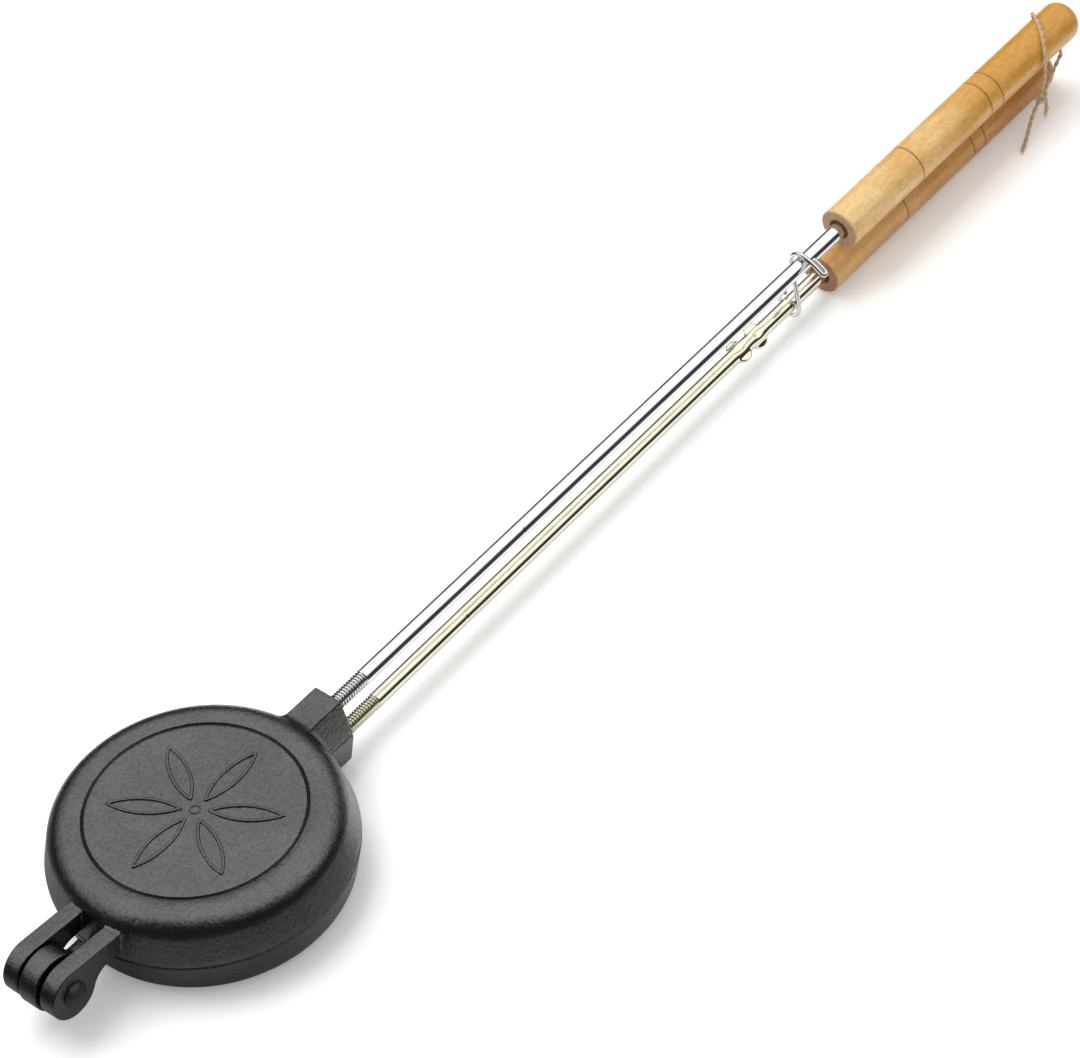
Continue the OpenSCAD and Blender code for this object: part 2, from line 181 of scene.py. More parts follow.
class RodSettings(bpy.types.PropertyGroup):
    """Sizes of the rods, their threads and the crimps."""

    radius: length("Radius", "Radius of a rod", 3.175)
    spacing: length("Spacing", "Distance between the rods at the boss", 15.9)
    upper_rise: slope("Upper rise", "Rise of the upper rod", 0.012)
    lower_fall: slope("Lower fall", "Fall of the lower rod", 0.004)
    lower_side: slope("Lower side", "Sideways lean of the lower rod", 0.018)
    pitch: length("Pitch", "Pitch of the thread", 1.27)
    thread_depth: length("Thread depth", "Depth of the thread", 0.62)
    upper_thread: length("Upper thread", "Length of thread that shows on the upper rod", 17.3)
    lower_thread: length("Lower thread", "Length of thread that shows on the lower rod", 21.2)
    seat: length("Seat", "Length of rod inside a handle", 60.0)
    crimp_at: length("Crimp at", "Distance from the boss to the first crimp", 234.2)
    crimp_step: length("Crimp step", "Distance between the two crimps", 10.2)
    crimp_rise: length("Crimp rise", "Height that a crimp's ears stand proud", 2.1)
    crimp_half: length("Crimp half", "Half of the length of a crimp along the rod", 3.7)
    crimp_width: length("Crimp width", "Half of the thickness of a crimp's ears", 0.95)
    crimp_dent: length("Crimp dent", "Depth of the dents between a crimp's ears", 0.5)
    nick_depth: length("Nick depth", "Depth of the marks left by the clamp", 0.16)
    upper_nick: length("Upper nick", "Distance from the boss to the upper rod's mark", 103.6)
    lower_nick: length("Lower nick", "Distance from the boss to the lower rod's mark", 70.0)


class HandleSettings(bpy.types.PropertyGroup):
    """Sizes of the turned handles."""

    radius: length("Radius", "Radius of a handle", 8.45)
    long: length("Length", "Length of a handle", 147.0)
    upper_at: length("Upper at", "Distance from the boss to the upper handle", 292.3)
    lower_at: length("Lower at", "Distance from the boss to the lower handle", 285.0)
    line_1: length("Line 1", "Distance from the near end to the first turned line", 42.6)
    line_2: length("Line 2", "Distance from the near end to the second turned line", 86.0)
    line_gap: length("Line gap", "Distance between the second and third turned lines", 7.3)
    line_shift: length("Line shift", "Distance that the lower handle's lines lie further along", 3.1)
    line_width: length("Line width", "Width of a turned line", 0.9)
    line_depth: length("Line depth", "Depth of a turned line", 0.35)
    tip: length("Tip", "Length of the rounded far end", 6.5)
    near_edge: length("Near edge", "Radius of the eased near edge", 0.8)
    mouth: length("Mouth", "Radius of the counterbore round the rod", 4.2)
    mouth_depth: length("Mouth depth", "Depth of the counterbore", 3.0)
    hole_from_tip: length("Hole from tip", "Distance from the hanging hole to the far end", 14.4)
    hole: length("Hole", "Radius of the hanging hole", 1.7)
    hole_tilt: FloatProperty(
        name="Hole tilt", description="Tilt of the hanging hole from level", default=np.radians(42),
        subtype="ANGLE")


class LatchSettings(bpy.types.PropertyGroup):
    """Sizes of the bent wire latch."""

    wire: length("Wire", "Radius of the wire", 0.95)
    at: length("At", "Distance from the boss to the latch", 265.6)
    gap: length("Gap", "Clearance between the wire and each rod", 0.7)
    eye_sweep: FloatProperty(
        name="Eye sweep", description="Extent of the eye round the lower rod, in degrees", default=258)
    hook_over: FloatProperty(
        name="Hook over", description="Extent of the hook past the upper rod, in degrees", default=22)
    tab: length("Tab", "Width of the thumb bend", 2.1)
    tab_back: FloatProperty(
        name="Tab back", description="Extent of the wire after the thumb bend, in degrees", default=13)
    lean: FloatProperty(
        name="Lean", description="Lean of the latch towards the handles, in degrees", default=9)


class TwineSettings(bpy.types.PropertyGroup):
    """Sizes of the twine."""

    radius: length("Radius", "Radius over both plies", 0.85)
    lay: length("Lay", "Length in which a ply turns once", 6.4)
    knot: length("Knot", "Radius of the knot", 2.7)
    fibres: IntProperty(name="Fibres", description="Loose fibres on each piece of twine", default=90)


class FinishSettings(bpy.types.PropertyGroup):
    """Colours of the materials."""

    iron: tint("Iron", "Seasoned cast iron", (0.15, 0.149, 0.145))
    rivet: tint("Rivet", "Blackened rivet", (0.022, 0.022, 0.023))
    upper_zinc: tint("Upper zinc", "Bluish zinc of the upper rod", (0.9, 0.915, 0.935))
    lower_zinc: tint("Lower zinc", "Yellowish zinc of the lower rod", (0.89, 0.86, 0.7))
    wire: tint("Wire", "Bright latch wire", (0.8, 0.8, 0.79))
    straw: tint("Straw", "Pale wood near the rods", (0.82, 0.56, 0.24))
    honey: tint("Honey", "Stained wood towards the far end", (0.6, 0.285, 0.035))
    end_grain: tint("End grain", "Wood across the grain", (0.4, 0.24, 0.13))
    burn: tint("Burn", "Burnt turned lines", (0.27, 0.115, 0.03))
    twine: tint("Twine", "Jute twine", (0.5, 0.355, 0.21))


class StageSettings(bpy.types.PropertyGroup):
    """The camera, the floor and the light."""

    focal: FloatProperty(name="Focal length", description="Focal length, in millimetres", default=174.362)
    sensor: FloatProperty(name="Sensor", description="Width of the sensor, in millimetres", default=36.0)
    camera: FloatVectorProperty(
        name="Camera", description="Place of the camera", default=(-0.729331, -0.970687, 1.393727),
        size=3, subtype="TRANSLATION")
    right: FloatVectorProperty(
        name="Right", description="Direction of the picture's right side",
        default=(0.643936, -0.757479, -0.107579), size=3, subtype="DIRECTION")
    forward: FloatVectorProperty(
        name="Forward", description="Direction that the camera looks in",
        default=(0.476624, 0.507161, -0.718065), size=3, subtype="DIRECTION")
    floor: FloatProperty(name="Floor", description="Half of the floor's width", default=6.0, unit="LENGTH")
    lift: FloatProperty(name="Lift", description="Light added to the floor that the camera sees", default=0.17)
    lamp: FloatVectorProperty(
        name="Lamp", description="Place of the large soft lamp", default=(0.0, 0.9, 2.4), size=3,
        subtype="TRANSLATION")
    lamp_aim: FloatVectorProperty(
        name="Lamp aim", description="Point that the lamp faces", default=(0.2, 0.0, 0.0), size=3,
        subtype="TRANSLATION")
    lamp_size: FloatVectorProperty(
        name="Lamp size", description="Width and depth of the lamp", default=(2.4, 1.8), size=2, unit="LENGTH")
    key: FloatProperty(name="Key", description="Power of the large soft lamp", default=46.0)
    fill: FloatProperty(name="Fill", description="Strength of the light from all round", default=0.72)
    bright: FloatProperty(name="Bright", description="Brightness of what shiny things mirror overhead", default=1.15)
    dark: FloatProperty(name="Dark", description="Brightness of what they mirror near the horizon", default=0.04)


class PieIronSettings(bpy.types.PropertyGroup):
    """Everything that the sidebar shows."""

    head: PointerProperty(type=HeadSettings)
    hinge: PointerProperty(type=HingeSettings)
    boss: PointerProperty(type=BossSettings)
    rods: PointerProperty(type=RodSettings)
    handles: PointerProperty(type=HandleSettings)
    latch: PointerProperty(type=LatchSettings)
    twine: PointerProperty(type=TwineSettings)
    finish: PointerProperty(type=FinishSettings)
    stage: PointerProperty(type=StageSettings)


# Shapes


def unit(v):
    """Vectors scaled to length one."""
    return v / np.linalg.norm(v, axis=-1, keepdims=True)


def turn(axis, degrees):
    """Rotation matrix about X, Y or Z."""
    return np.array(Matrix.Rotation(np.radians(degrees), 3, axis))


def smooth(x, low, high):
    """0 below low, 1 above high, and 3t^2 - 2t^3 between them."""
    t = np.clip((x - low) / (high - low), 0, 1)
    return t * t * (3 - 2 * t)


def arc(centre, radius, start, end, steps=12):
    """Points centre + radius (cos a, sin a), with a from start to end in degrees."""
    a = np.radians(np.linspace(start, end, steps + 1))
    return np.column_stack((centre[0] + radius * np.cos(a), centre[1] + radius * np.sin(a)))


def resample(line, count):
    """The same line with count points at even steps of its length."""
    line = np.asarray(line, float)
    steps = np.linalg.norm(np.diff(line, axis=0), axis=1)
    at = np.concatenate(([0], np.cumsum(steps)))
    want = np.linspace(0, at[-1], count)
    return np.column_stack([np.interp(want, at, line[:, k]) for k in range(line.shape[1])])


def corner_arcs(corners, radius, steps=6):
    """For each corner of a closed polygon, the points of an arc that touches both of its sides."""
    corners = np.asarray(corners, float)
    before = unit(np.roll(corners, 1, axis=0) - corners)
    after = unit(np.roll(corners, -1, axis=0) - corners)
    half = np.arccos(np.clip((before * after).sum(1), -1, 1)) / 2
    centre = corners + unit(before + after) * (radius / np.sin(half))[:, None]
    first = corners + before * (radius / np.tan(half))[:, None] - centre
    last = corners + after * (radius / np.tan(half))[:, None] - centre
    t = np.linspace(0, 1, steps + 1)[None, :, None]
    return centre[:, None] + unit(first[:, None] * (1 - t) + last[:, None] * t) * radius


def closed(line, count):
    """A line joined end to end as an outline of count points at even steps, anticlockwise."""
    return anticlockwise(resample(np.vstack((line, line[:1])), count + 1)[:-1])


def outward(loop):
    """Outward directions of a closed outline that runs anticlockwise: its tangents turned right."""
    along = unit(np.roll(loop, -1, axis=0) - np.roll(loop, 1, axis=0))
    return np.column_stack((along[:, 1], -along[:, 0]))


def anticlockwise(loop):
    """The same outline, turned round if its area is negative."""
    x, y = loop.T
    area = (x * np.roll(y, -1) - np.roll(x, -1) * y).sum()
    return loop if area > 0 else loop[::-1]


def patch(grid, first):
    """Faces of one grid whose columns close: four-sided between its rows, a fan at an end row that is a point,
    and one flat face at any other end row. Where the last row repeats the first, the rows close too. Returns
    the quads, the triangles and the flat faces."""
    ring = np.arange(grid.shape[0] * grid.shape[1]).reshape(grid.shape[:2]) + first
    joined = np.allclose(grid[0], grid[-1], atol=1e-9)
    if joined:
        ring[-1] = ring[0]
    beside = np.roll(ring, -1, axis=1)
    quads = np.stack((ring[:-1], beside[:-1], beside[1:], ring[1:]), axis=-1)
    if joined:
        return quads.reshape(-1, 4), np.empty((0, 3), int), []
    near, far = (np.ptp(grid[row], axis=0).max() < 1e-9 for row in (0, -1))
    fans, caps = [], []
    if near:
        fans.append(np.column_stack((np.full_like(ring[1], ring[0, 0]), beside[1], ring[1])))
    else:
        caps.append(ring[0, ::-1])
    if far:
        fans.append(np.column_stack((ring[-2], beside[-2], np.full_like(ring[-2], ring[-1, 0]))))
    else:
        caps.append(ring[-1])
    quads = quads[int(near):len(quads) - int(far)].reshape(-1, 4)
    return quads, np.vstack(fans) if fans else np.empty((0, 3), int), caps


def volume(grid):
    """Signed volume inside a grid, seen from its middle: positive if its faces look outwards."""
    p = grid - grid.reshape(-1, 3).mean(axis=0)
    q = np.roll(p, -1, axis=1)
    a, b, c, d = p[:-1], q[:-1], q[1:], p[1:]
    return (a * (np.cross(b, c) + np.cross(c, d))).sum() / 6


def skin(name, grids, marks=None, angle=38):
    """One object from closed grids of rows x columns x 3, with faces outwards and edges sharp past the angle.
    marks gives, for each grid, a number on every point, under a name that materials read."""
    points, quads, fans, caps, first = [], [], [], [], 0
    values = {key: [] for key in marks or {}}
    for n, grid in enumerate(grids):
        way = 1 if volume(grid) > 0 else -1
        grid = grid[:, ::way]
        four, three, flat = patch(grid, first)
        quads.append(four)
        fans.append(three)
        caps += flat
        points.append(grid.reshape(-1, 3))
        for key in values:
            values[key].append(np.broadcast_to(marks[key][n], grid.shape[:2])[:, ::way].reshape(-1))
        first += len(points[-1])
    quads, fans = np.vstack(quads), np.vstack(fans)
    used = np.zeros(first, bool)
    used[np.concatenate((quads.ravel(), fans.ravel(), *caps))] = True
    place = np.cumsum(used) - 1
    faces = place[quads].tolist() + place[fans].tolist() + [place[cap].tolist() for cap in caps]
    mesh = bpy.data.meshes.new(name)
    mesh.from_pydata(np.vstack(points)[used], [], faces)
    for key, parts in values.items():
        layer = mesh.attributes.new(key, "FLOAT", "POINT")
        layer.data.foreach_set("value", np.concatenate(parts)[used].astype(np.float32))
    return shaded(added(name, mesh), angle)


def added(name, data):
    """A new object in the scene."""
    thing = bpy.data.objects.new(name, data)
    bpy.context.scene.collection.objects.link(thing)
    return thing


def shaded(thing, angle=38):
    """Smooth faces with sharp edges past an angle in degrees."""
    mesh = thing.data
    mesh.polygons.foreach_set("use_smooth", np.ones(len(mesh.polygons), bool))
    mesh.set_sharp_from_angle(angle=np.radians(angle))
    return thing


def boolean(thing, other, operation, parts=False):
    """The object united with another, or cut by it, for good. The other one is removed. parts says that the other
    one is several closed shells."""
    change = thing.modifiers.new(operation, "BOOLEAN")
    change.operation = operation
    change.solver = "EXACT"
    change.use_self = parts
    change.object = other
    bpy.context.view_layer.update()
    made = thing.evaluated_get(bpy.context.evaluated_depsgraph_get())
    mesh = bpy.data.meshes.new_from_object(made)
    thing.modifiers.remove(change)
    thing.data = mesh
    bpy.data.objects.remove(other)
    return thing


def revolved(profile, columns, bump=None):
    """Grid of a profile of (radius, height) turned about Z: (r cos a, r sin a, z). bump adds to the radius."""
    a = np.linspace(0, 2 * np.pi, columns, endpoint=False)
    r = np.broadcast_to(profile[:, :1], (len(profile), columns))
    z = np.broadcast_to(profile[:, 1:], (len(profile), columns))
    if bump is not None:
        r = np.where(r > 0, r + bump(r, z, a[None, :]), 0)
    return np.stack((r * np.cos(a), r * np.sin(a), z), axis=-1)


def plate(outline, spine, low, high, edge, flare, ceiling):
    """Grid of a flat plate in XZ between two values of y. Each face runs from the outline, drawn in through a
    quarter circle of the edge radius, most of the way to a spine, whose points answer the outline's.
    flare(points) is how far the surface stands out where the plate meets the head. It lifts nothing past the
    ceiling."""
    out = outward(outline)
    a = np.radians(np.linspace(0, 90, 6))[:, None, None]
    rim = outline[None] - out[None] * edge * (1 - np.sin(a))
    share = np.array([0.12, 0.3, 0.5, 0.7, 0.88])[:, None, None]
    face = spine[None] * (1 - share) + (outline - out * edge)[None] * share
    half = np.concatenate((face, rim))
    level = np.concatenate((np.zeros(5), edge * (1 - np.cos(a[:, 0, 0]))))
    side = np.concatenate((np.ones(5), np.cos(a[:, 0, 0])))
    middle = np.broadcast_to(outline, (3,) + outline.shape)
    flat = np.concatenate((half, middle, half[::-1]))
    between = np.linspace(low + edge, high - edge, 5)[1:-1]
    y = np.concatenate((low + level, between, high - level[::-1]))
    side = np.concatenate((-side, np.zeros(3), side[::-1]))
    grid = np.stack((flat[..., 0], np.broadcast_to(y[:, None], flat.shape[:2]), flat[..., 1]), axis=-1)
    stand = flare(grid)
    lift = np.sqrt(1 - side ** 2)[:, None]
    grid[..., 0] += stand * lift * out[None, :, 0]
    grid[..., 1] += stand * side[:, None]
    raised = grid[..., 2] + stand * lift * out[None, :, 1]
    grid[..., 2] = np.minimum(raised, np.maximum(grid[..., 2], ceiling))
    return grid


def distances(path):
    """Distance along a path of each of its points."""
    return np.concatenate(([0], np.cumsum(np.linalg.norm(np.diff(path, axis=0), axis=1))))


def rings_on(path, along, side, r):
    """Rings square to a path: path + r (cos a side + sin a over)."""
    a = np.linspace(0, 2 * np.pi, r.shape[1], endpoint=False)
    over = np.cross(along, side)
    return path[:, None] + r[..., None] * (
        np.cos(a)[None, :, None] * side[:, None] + np.sin(a)[None, :, None] * over[:, None])


def carried(along):
    """Side directions along a path that never turn round it: each is the one before, made square again."""
    side = np.empty_like(along)
    last = np.cross(along[0], np.array([0.31, 0.27, 0.91]))
    for n, way in enumerate(along):
        last = unit(last - (last @ way) * way)
        side[n] = last
    return side


def tube(path, radius, columns, shape=None, ends=3):
    """Grid of a round tube along a path, with rounded ends, and the distance along the path of each row.
    shape(s, a) is the radius at distance s along the path and angle a round it."""
    s = distances(path)
    along = unit(np.gradient(path, axis=0))
    a = np.linspace(0, 2 * np.pi, columns, endpoint=False)
    r = np.full((len(s), columns), radius) if shape is None else shape(s[:, None], a[None, :])
    rings = rings_on(path, along, carried(along), r)
    t = np.radians(np.linspace(0, 90, ends + 1))[:, None, None]
    start = path[0] + (rings[0] - path[0]) * np.sin(t) - along[0] * radius * np.cos(t)
    end = path[-1] + (rings[-1] - path[-1]) * np.cos(t) + along[-1] * radius * np.sin(t)
    extra = np.zeros(ends + 1)
    return np.concatenate((start, rings[1:-1], end)), np.concatenate((extra + s[0], s[1:-1], extra + s[-1]))


def aimed(thing, right, back, place):
    """Puts a camera or a lamp at a place, with its right side and its back towards two directions."""
    up = unit(np.cross(back, right))
    way = np.eye(4)
    way[:3, :3] = np.column_stack((np.cross(up, back), up, back))
    way[:3, 3] = place
    thing.matrix_world = Matrix(way.tolist())


def placed(grid, way, origin):
    """A grid turned by a rotation matrix and moved to an origin."""
    return grid @ way.T + origin


# Castings


def side_radius(head, z):
    """Radius of the outside of a half at height z from its face: a quarter circle that leaves the flat face, and
    then a straight taper."""
    lean = np.arctan(head.draft)
    flat = flat_radius(head)
    corner = flat + np.sqrt(np.clip(head.corner ** 2 - (head.corner - z) ** 2, 0, None))
    taper = head.radius - head.draft * (head.half_height - z)
    return np.where(z < head.corner * (1 - np.sin(lean)), corner, taper)


def flat_radius(head):
    """Radius of the flat outer face."""
    lean = np.arctan(head.draft)
    return head.radius - head.draft * (head.half_height - head.corner) - head.corner / np.cos(lean)


def reach(head, y, z):
    """Distance along X from the middle of the head to its side, at a given y and height above the table."""
    from_face = np.clip(np.minimum(z, 2 * head.half_height - z), 0, None)
    return np.sqrt(np.clip(side_radius(head, from_face) ** 2 - y ** 2, 0, None))


def fillet(gap, radius):
    """How far a surface stands out at a distance from the side that it meets: a quarter circle."""
    g = np.clip(gap, 0, radius)
    return radius - np.sqrt(radius ** 2 - (radius - g) ** 2)


def dish_profile(head):
    """Section of a half from the middle of its face to the middle of its pocket's floor, with the engraved ring,
    rounded corner, tapered side and parting face."""
    lean = np.degrees(np.arctan(head.draft))
    up, out = np.sin(np.radians(lean)), np.cos(np.radians(lean))
    flat = flat_radius(head)
    top = head.half_height - head.seam / 2
    e = head.edge
    groove = np.linspace(-0.5, 0.5, 13)
    ring = np.column_stack((head.ring_radius + groove * head.ring_width,
                            head.ring_depth * (0.5 + 0.5 * np.cos(2 * np.pi * groove)) ** 0.8))
    rim_r = float(side_radius(head, top - e - e * up)) - e * out
    pocket = head.radius - head.wall
    mouth = pocket + head.draft * (top - e - head.half_height) + e * (out + head.draft * up)
    deep = head.floor + head.pocket_corner
    floor_r = pocket + head.draft * (deep - head.half_height) - head.pocket_corner / out
    face = np.column_stack((np.linspace(0, head.ring_radius - head.ring_width, 8), np.zeros(8)))
    side = np.linspace(head.corner * (1 - up), top - e - e * up, 6)[1:-1]
    return np.vstack((
        face, ring, arc((flat, head.corner), head.corner, -90, -lean, 22),
        np.column_stack((side_radius(head, side), side)),
        arc((rim_r, top - e), e, -lean, 90, 5),
        arc((mouth, top - e), e, 90, 180 - lean, 5),
        arc((floor_r, deep), head.pocket_corner, -lean, -90, 12),
        [[0, head.floor]]))


def dish(head, upper):
    """Grid of one half: its section turned about Z, with a slow unevenness of the tapered side. The upper half
    is turned over."""
    phase = 2.0 if upper else 0.4

    def uneven(r, z, a):
        wave = np.sin(3 * a + phase) + 0.6 * np.sin(5 * a + 2 * phase) + 0.4 * np.sin(11 * a + 3 * phase)
        return 0.5 * head.wobble * wave * smooth(r, flat_radius(head), head.radius - head.wall)

    grid = revolved(dish_profile(head), 288, uneven)
    if upper:
        grid[..., 2] = 2 * head.half_height - grid[..., 2]
    return grid


def half_boss(head, boss, upper):
    """Grid of half of the six-sided boss. Its section is carried from inside the head's wall to its end. Near the
    head the rows lie parallel to the head's side, and the section grows through a quarter circle."""
    low = boss.seam / 2
    corners = [(-boss.middle / 2, low), (boss.middle / 2, low), (boss.top / 2, boss.rise), (-boss.top / 2, boss.rise)]
    loop = closed(corner_arcs(corners, head.edge).reshape(-1, 2), 144)
    out = outward(loop)
    spread = np.column_stack((out[:, 0], np.clip(out[:, 1], 0, None)))
    radius = head.fillet
    way = 1 if upper else -1
    t = np.radians(np.linspace(90, 0, 10))
    gap = np.concatenate(([-BOSS_ROOT], radius * (1 - np.sin(t))))
    grow = np.concatenate(([radius], radius * (1 - np.cos(t))))[:, None, None]
    near = loop[None] + spread[None] * grow
    middle = np.array([0, boss.rise / 2])
    inner = middle + (near[0] - middle)[None] * np.array([0, 0.5])[:, None, None]
    near = np.concatenate((inner, near))
    gap = np.concatenate((gap[[0, 0]], gap))[:, None]
    x = reach(head, near[..., 0], head.half_height + way * near[..., 1]) + gap
    root = np.stack((x, near[..., 0], near[..., 1]), axis=-1)
    share = np.linspace(0, 1, 7)[1:, None]
    far = np.stack((x[-1] * (1 - share) + (boss.end - head.edge) * share,
                    np.broadcast_to(loop[:, 0], (6, len(loop))), np.broadcast_to(loop[:, 1], (6, len(loop)))), axis=-1)
    a = np.radians(np.linspace(0, 90, 6))[1:]
    inset = np.concatenate((head.edge * (1 - np.cos(a)), [2.2 * head.edge]))[:, None, None]
    end_loop = loop[None] - out[None] * inset
    end_x = boss.end - head.edge * (1 - np.append(np.sin(a), 1))
    end = np.concatenate((np.broadcast_to(end_x[:, None, None], end_loop.shape[:2] + (1,)), end_loop), axis=-1)
    grid = np.concatenate((root, far, end))
    grid[..., 2] = head.half_height + way * grid[..., 2]
    return grid


def hinge_flare(head):
    """Where a plate of the hinge stands out to meet the head."""
    return lambda p: fillet(-p[..., 0] - reach(head, p[..., 1], p[..., 2]), PLATE_FILLET)


def spine_of(outline, root):
    """For each point of an outline, its place on the line from the pin to the middle of the root."""
    share = np.clip((outline[:, :1] - PIN[0]) / (root[0] - PIN[0]), 0, 0.92)
    return PIN[[0, 2]] * (1 - share) + np.asarray(root) * share


def ear_outline(head, hinge):
    """Side outline of an ear: a round eye, a top that falls to the head, and a hollow between the eye and the
    root's underside."""
    r, crook = hinge.ear_radius, hinge.ear_crook
    under = head.half_height + hinge.ear_root
    hollow = np.degrees(np.arcsin((under - crook - PIN[2]) / (r + crook)))
    centre = (PIN[0] + (r + crook) * np.cos(np.radians(hollow)), under - crook)
    fall = np.radians(hinge.ear_fall)
    foot = np.array([-EAR_FOOT, under])
    top = np.array([-EAR_TOP, 0])
    top[1] = PIN[2] + r / np.cos(fall) - (top[0] - PIN[0]) * np.tan(fall)
    root = corner_arcs([PIN[[0, 2]], foot, top], head.edge * 2)[1:].reshape(-1, 2)
    eye = arc(PIN[[0, 2]], r, 90 - hinge.ear_fall, 360 + hollow, 60)
    return closed(np.vstack((eye, arc(centre, crook, 180 + hollow, 90), root)), 240), (top + foot) / 2


def knuckle_outline(head, hinge):
    """Side outline of the knuckle: a round eye, an arm at the height of the pin that steps down under the upper
    casting, and an underside that is a tangent."""
    r, crook = hinge.knuckle_radius, hinge.knuckle_crook
    arm_top = head.half_height - head.seam
    foot = np.array([-float(side_radius(head, hinge.arm_foot)), hinge.arm_foot])
    away = foot - PIN[[0, 2]]
    tangent = 360 + np.degrees(np.arctan2(away[1], away[0]) - np.arccos(r / np.linalg.norm(away)))
    hollow = np.degrees(np.arcsin(crook / (r + crook)))
    centre = (PIN[0] + (r + crook) * np.cos(np.radians(hollow)), PIN[2] + crook)
    step = -head.radius - hinge.arm_gap
    top, inside = np.array([-ARM_TOP, arm_top]), np.array([-ARM_FOOT, hinge.arm_foot])
    corners = [foot, inside, top, [step, arm_top], [step - hinge.arm_step, PIN[2]], [centre[0], PIN[2]]]
    root = corner_arcs(corners, head.edge * 2)[1:5].reshape(-1, 2)
    line = np.vstack((arc(PIN[[0, 2]], r, hollow, tangent, 60), [foot], root, arc(centre, crook, 270, 180 + hollow)))
    return closed(line, 240), (top + inside) / 2


def rib(path, width, rise, z):
    """Grid of a raised line on the face along a closed outline: a rounded ridge whose foot lies in the iron."""
    a = np.radians(np.linspace(9, 171, 9))
    across = np.concatenate(([0.6], 0.5 * np.cos(a), [-0.6, 0.6])) * width
    up = np.concatenate(([-0.5], np.sin(a) ** 0.6, [-0.5, -0.5])) * rise
    out = outward(path)
    flat = path[None] + out[None] * across[:, None, None]
    return np.concatenate((flat, np.broadcast_to((z + up)[:, None, None], flat.shape[:2] + (1,))), axis=-1)


def rosette(head):
    """Grids of six petal outlines, each the overlap of two circles, and of a dot in the middle."""
    span = head.petal_tip - head.petal_root
    mid = head.petal_line / 2
    half = np.degrees(np.arccos(span * np.sin(np.radians(60)) / (span - mid)))
    bow = [arc((0.5 * span, way * span * np.sin(np.radians(60))), span - mid, -way * 90 - half, -way * 90 + half, 40)
           for way in (1, -1)]
    petal = closed(np.vstack(bow), 120) + [head.petal_root, 0]
    top = 2 * head.half_height
    grids = []
    for k in range(6):
        spin = turn("Z", 60 * k)[:2, :2]
        grids.append(rib(petal @ spin.T, head.petal_line, head.petal_rise, top))
    a = np.radians(np.linspace(0, 90, 7))
    dome = np.column_stack((head.dot * np.cos(a), head.petal_rise * np.sin(a)))
    profile = np.vstack(([[0, -0.4 * head.petal_rise], [head.dot, -0.4 * head.petal_rise]], dome))
    profile[-1, 0] = 0
    grids.append(revolved(profile + [0, top], 40))
    return grids


def bore(radius, low, high, way, origin, columns=48):
    """Grid of a plain cylinder that cuts a hole."""
    profile = np.array([[0, low], [radius, low], [radius, high], [0, high]])
    return placed(revolved(profile, columns), way, origin)


def rod_place(rods, head, boss, upper):
    """Turning and origin of a rod: its own Z runs along it, from 0 at the end of the boss."""
    half = rods.spacing / 2
    if upper:
        return turn("Y", 90 - np.degrees(np.arctan(rods.upper_rise))), np.array([boss.end, 0, head.half_height + half])
    way = turn("Z", np.degrees(np.arctan(rods.lower_side))) @ turn("Y", 90 + np.degrees(np.arctan(rods.lower_fall)))
    return way, np.array([boss.end, 0, head.half_height - half])


def iron(settings, upper):
    """One casting: the dish united with its boss and hinge plates, and bored for the rod and the rivet."""
    head, hinge, boss, rods = settings.head, settings.hinge, settings.boss, settings.rods
    name = "upper_casting" if upper else "lower_casting"
    wide, half = hinge.clevis / 2, hinge.knuckle / 2
    outline, root = ear_outline(head, hinge) if upper else knuckle_outline(head, hinge)
    sides = [(-wide, hinge.ear - wide), (wide - hinge.ear, wide)] if upper else [(-half, half)]
    ceiling = 1.0 if upper else head.half_height - head.seam
    extras = [half_boss(head, boss, upper)] + [
        plate(outline, spine_of(outline, root), low, high, head.edge, hinge_flare(head), ceiling)
        for low, high in sides]
    if upper:
        extras += rosette(head)
    whole = boolean(skin(name, [dish(head, upper)]), skin("extras", extras), "UNION", parts=True)
    way, origin = rod_place(rods, head, boss, upper)
    holes = [bore(rods.radius + SLACK, -boss.tap_depth, MM, way, origin),
             bore(hinge.rivet + (0 if upper else SLACK), -hinge.clevis, hinge.clevis, turn("X", 90), PIN)]
    return shaded(boolean(whole, skin("holes", holes), "DIFFERENCE"))


# Rivet, rods and handles


def rivet(hinge):
    """The rivet: a plain shank between two domes, each a quarter ellipse turned about the pin's axis, with the
    slight unevenness that a hammer leaves."""
    half = hinge.clevis / 2
    t = np.radians(np.linspace(0, 90, 13))
    dome = np.column_stack((hinge.rivet_head * np.cos(t), half + hinge.rivet_rise * np.sin(t)))
    dome[-1, 0] = 0
    shank = [[hinge.rivet, -half], [hinge.rivet, half]]
    profile = np.vstack((dome[::-1] * [1, -1], shank, dome))

    def hammered(r, z, a):
        wave = np.sin(3 * a + 900 * z) + 0.5 * np.sin(7 * a - 1500 * z)
        return 0.09 * MM * wave * smooth(r, 0.3 * hinge.rivet_head, 0.9 * hinge.rivet_head)

    return skin("rivet", [placed(revolved(profile, 64, hammered), turn("X", 90), PIN)])


def thread_groove(rods, s, a, end):
    """Depth of the thread at distance s along a rod and angle a round it: a V whose phase is s / pitch - a / 2 pi,
    rounded at its crest, that fades over the last turn."""
    phase = (s / rods.pitch - a / (2 * np.pi)) % 1
    cut = np.clip(1.25 * (1 - np.abs(2 * phase - 1)) - 0.1, 0, 1)
    fade = smooth(s, -2.5 * MM, -1.5 * MM) * (1 - smooth(s, end - rods.pitch, end))
    return rods.thread_depth * cut * fade


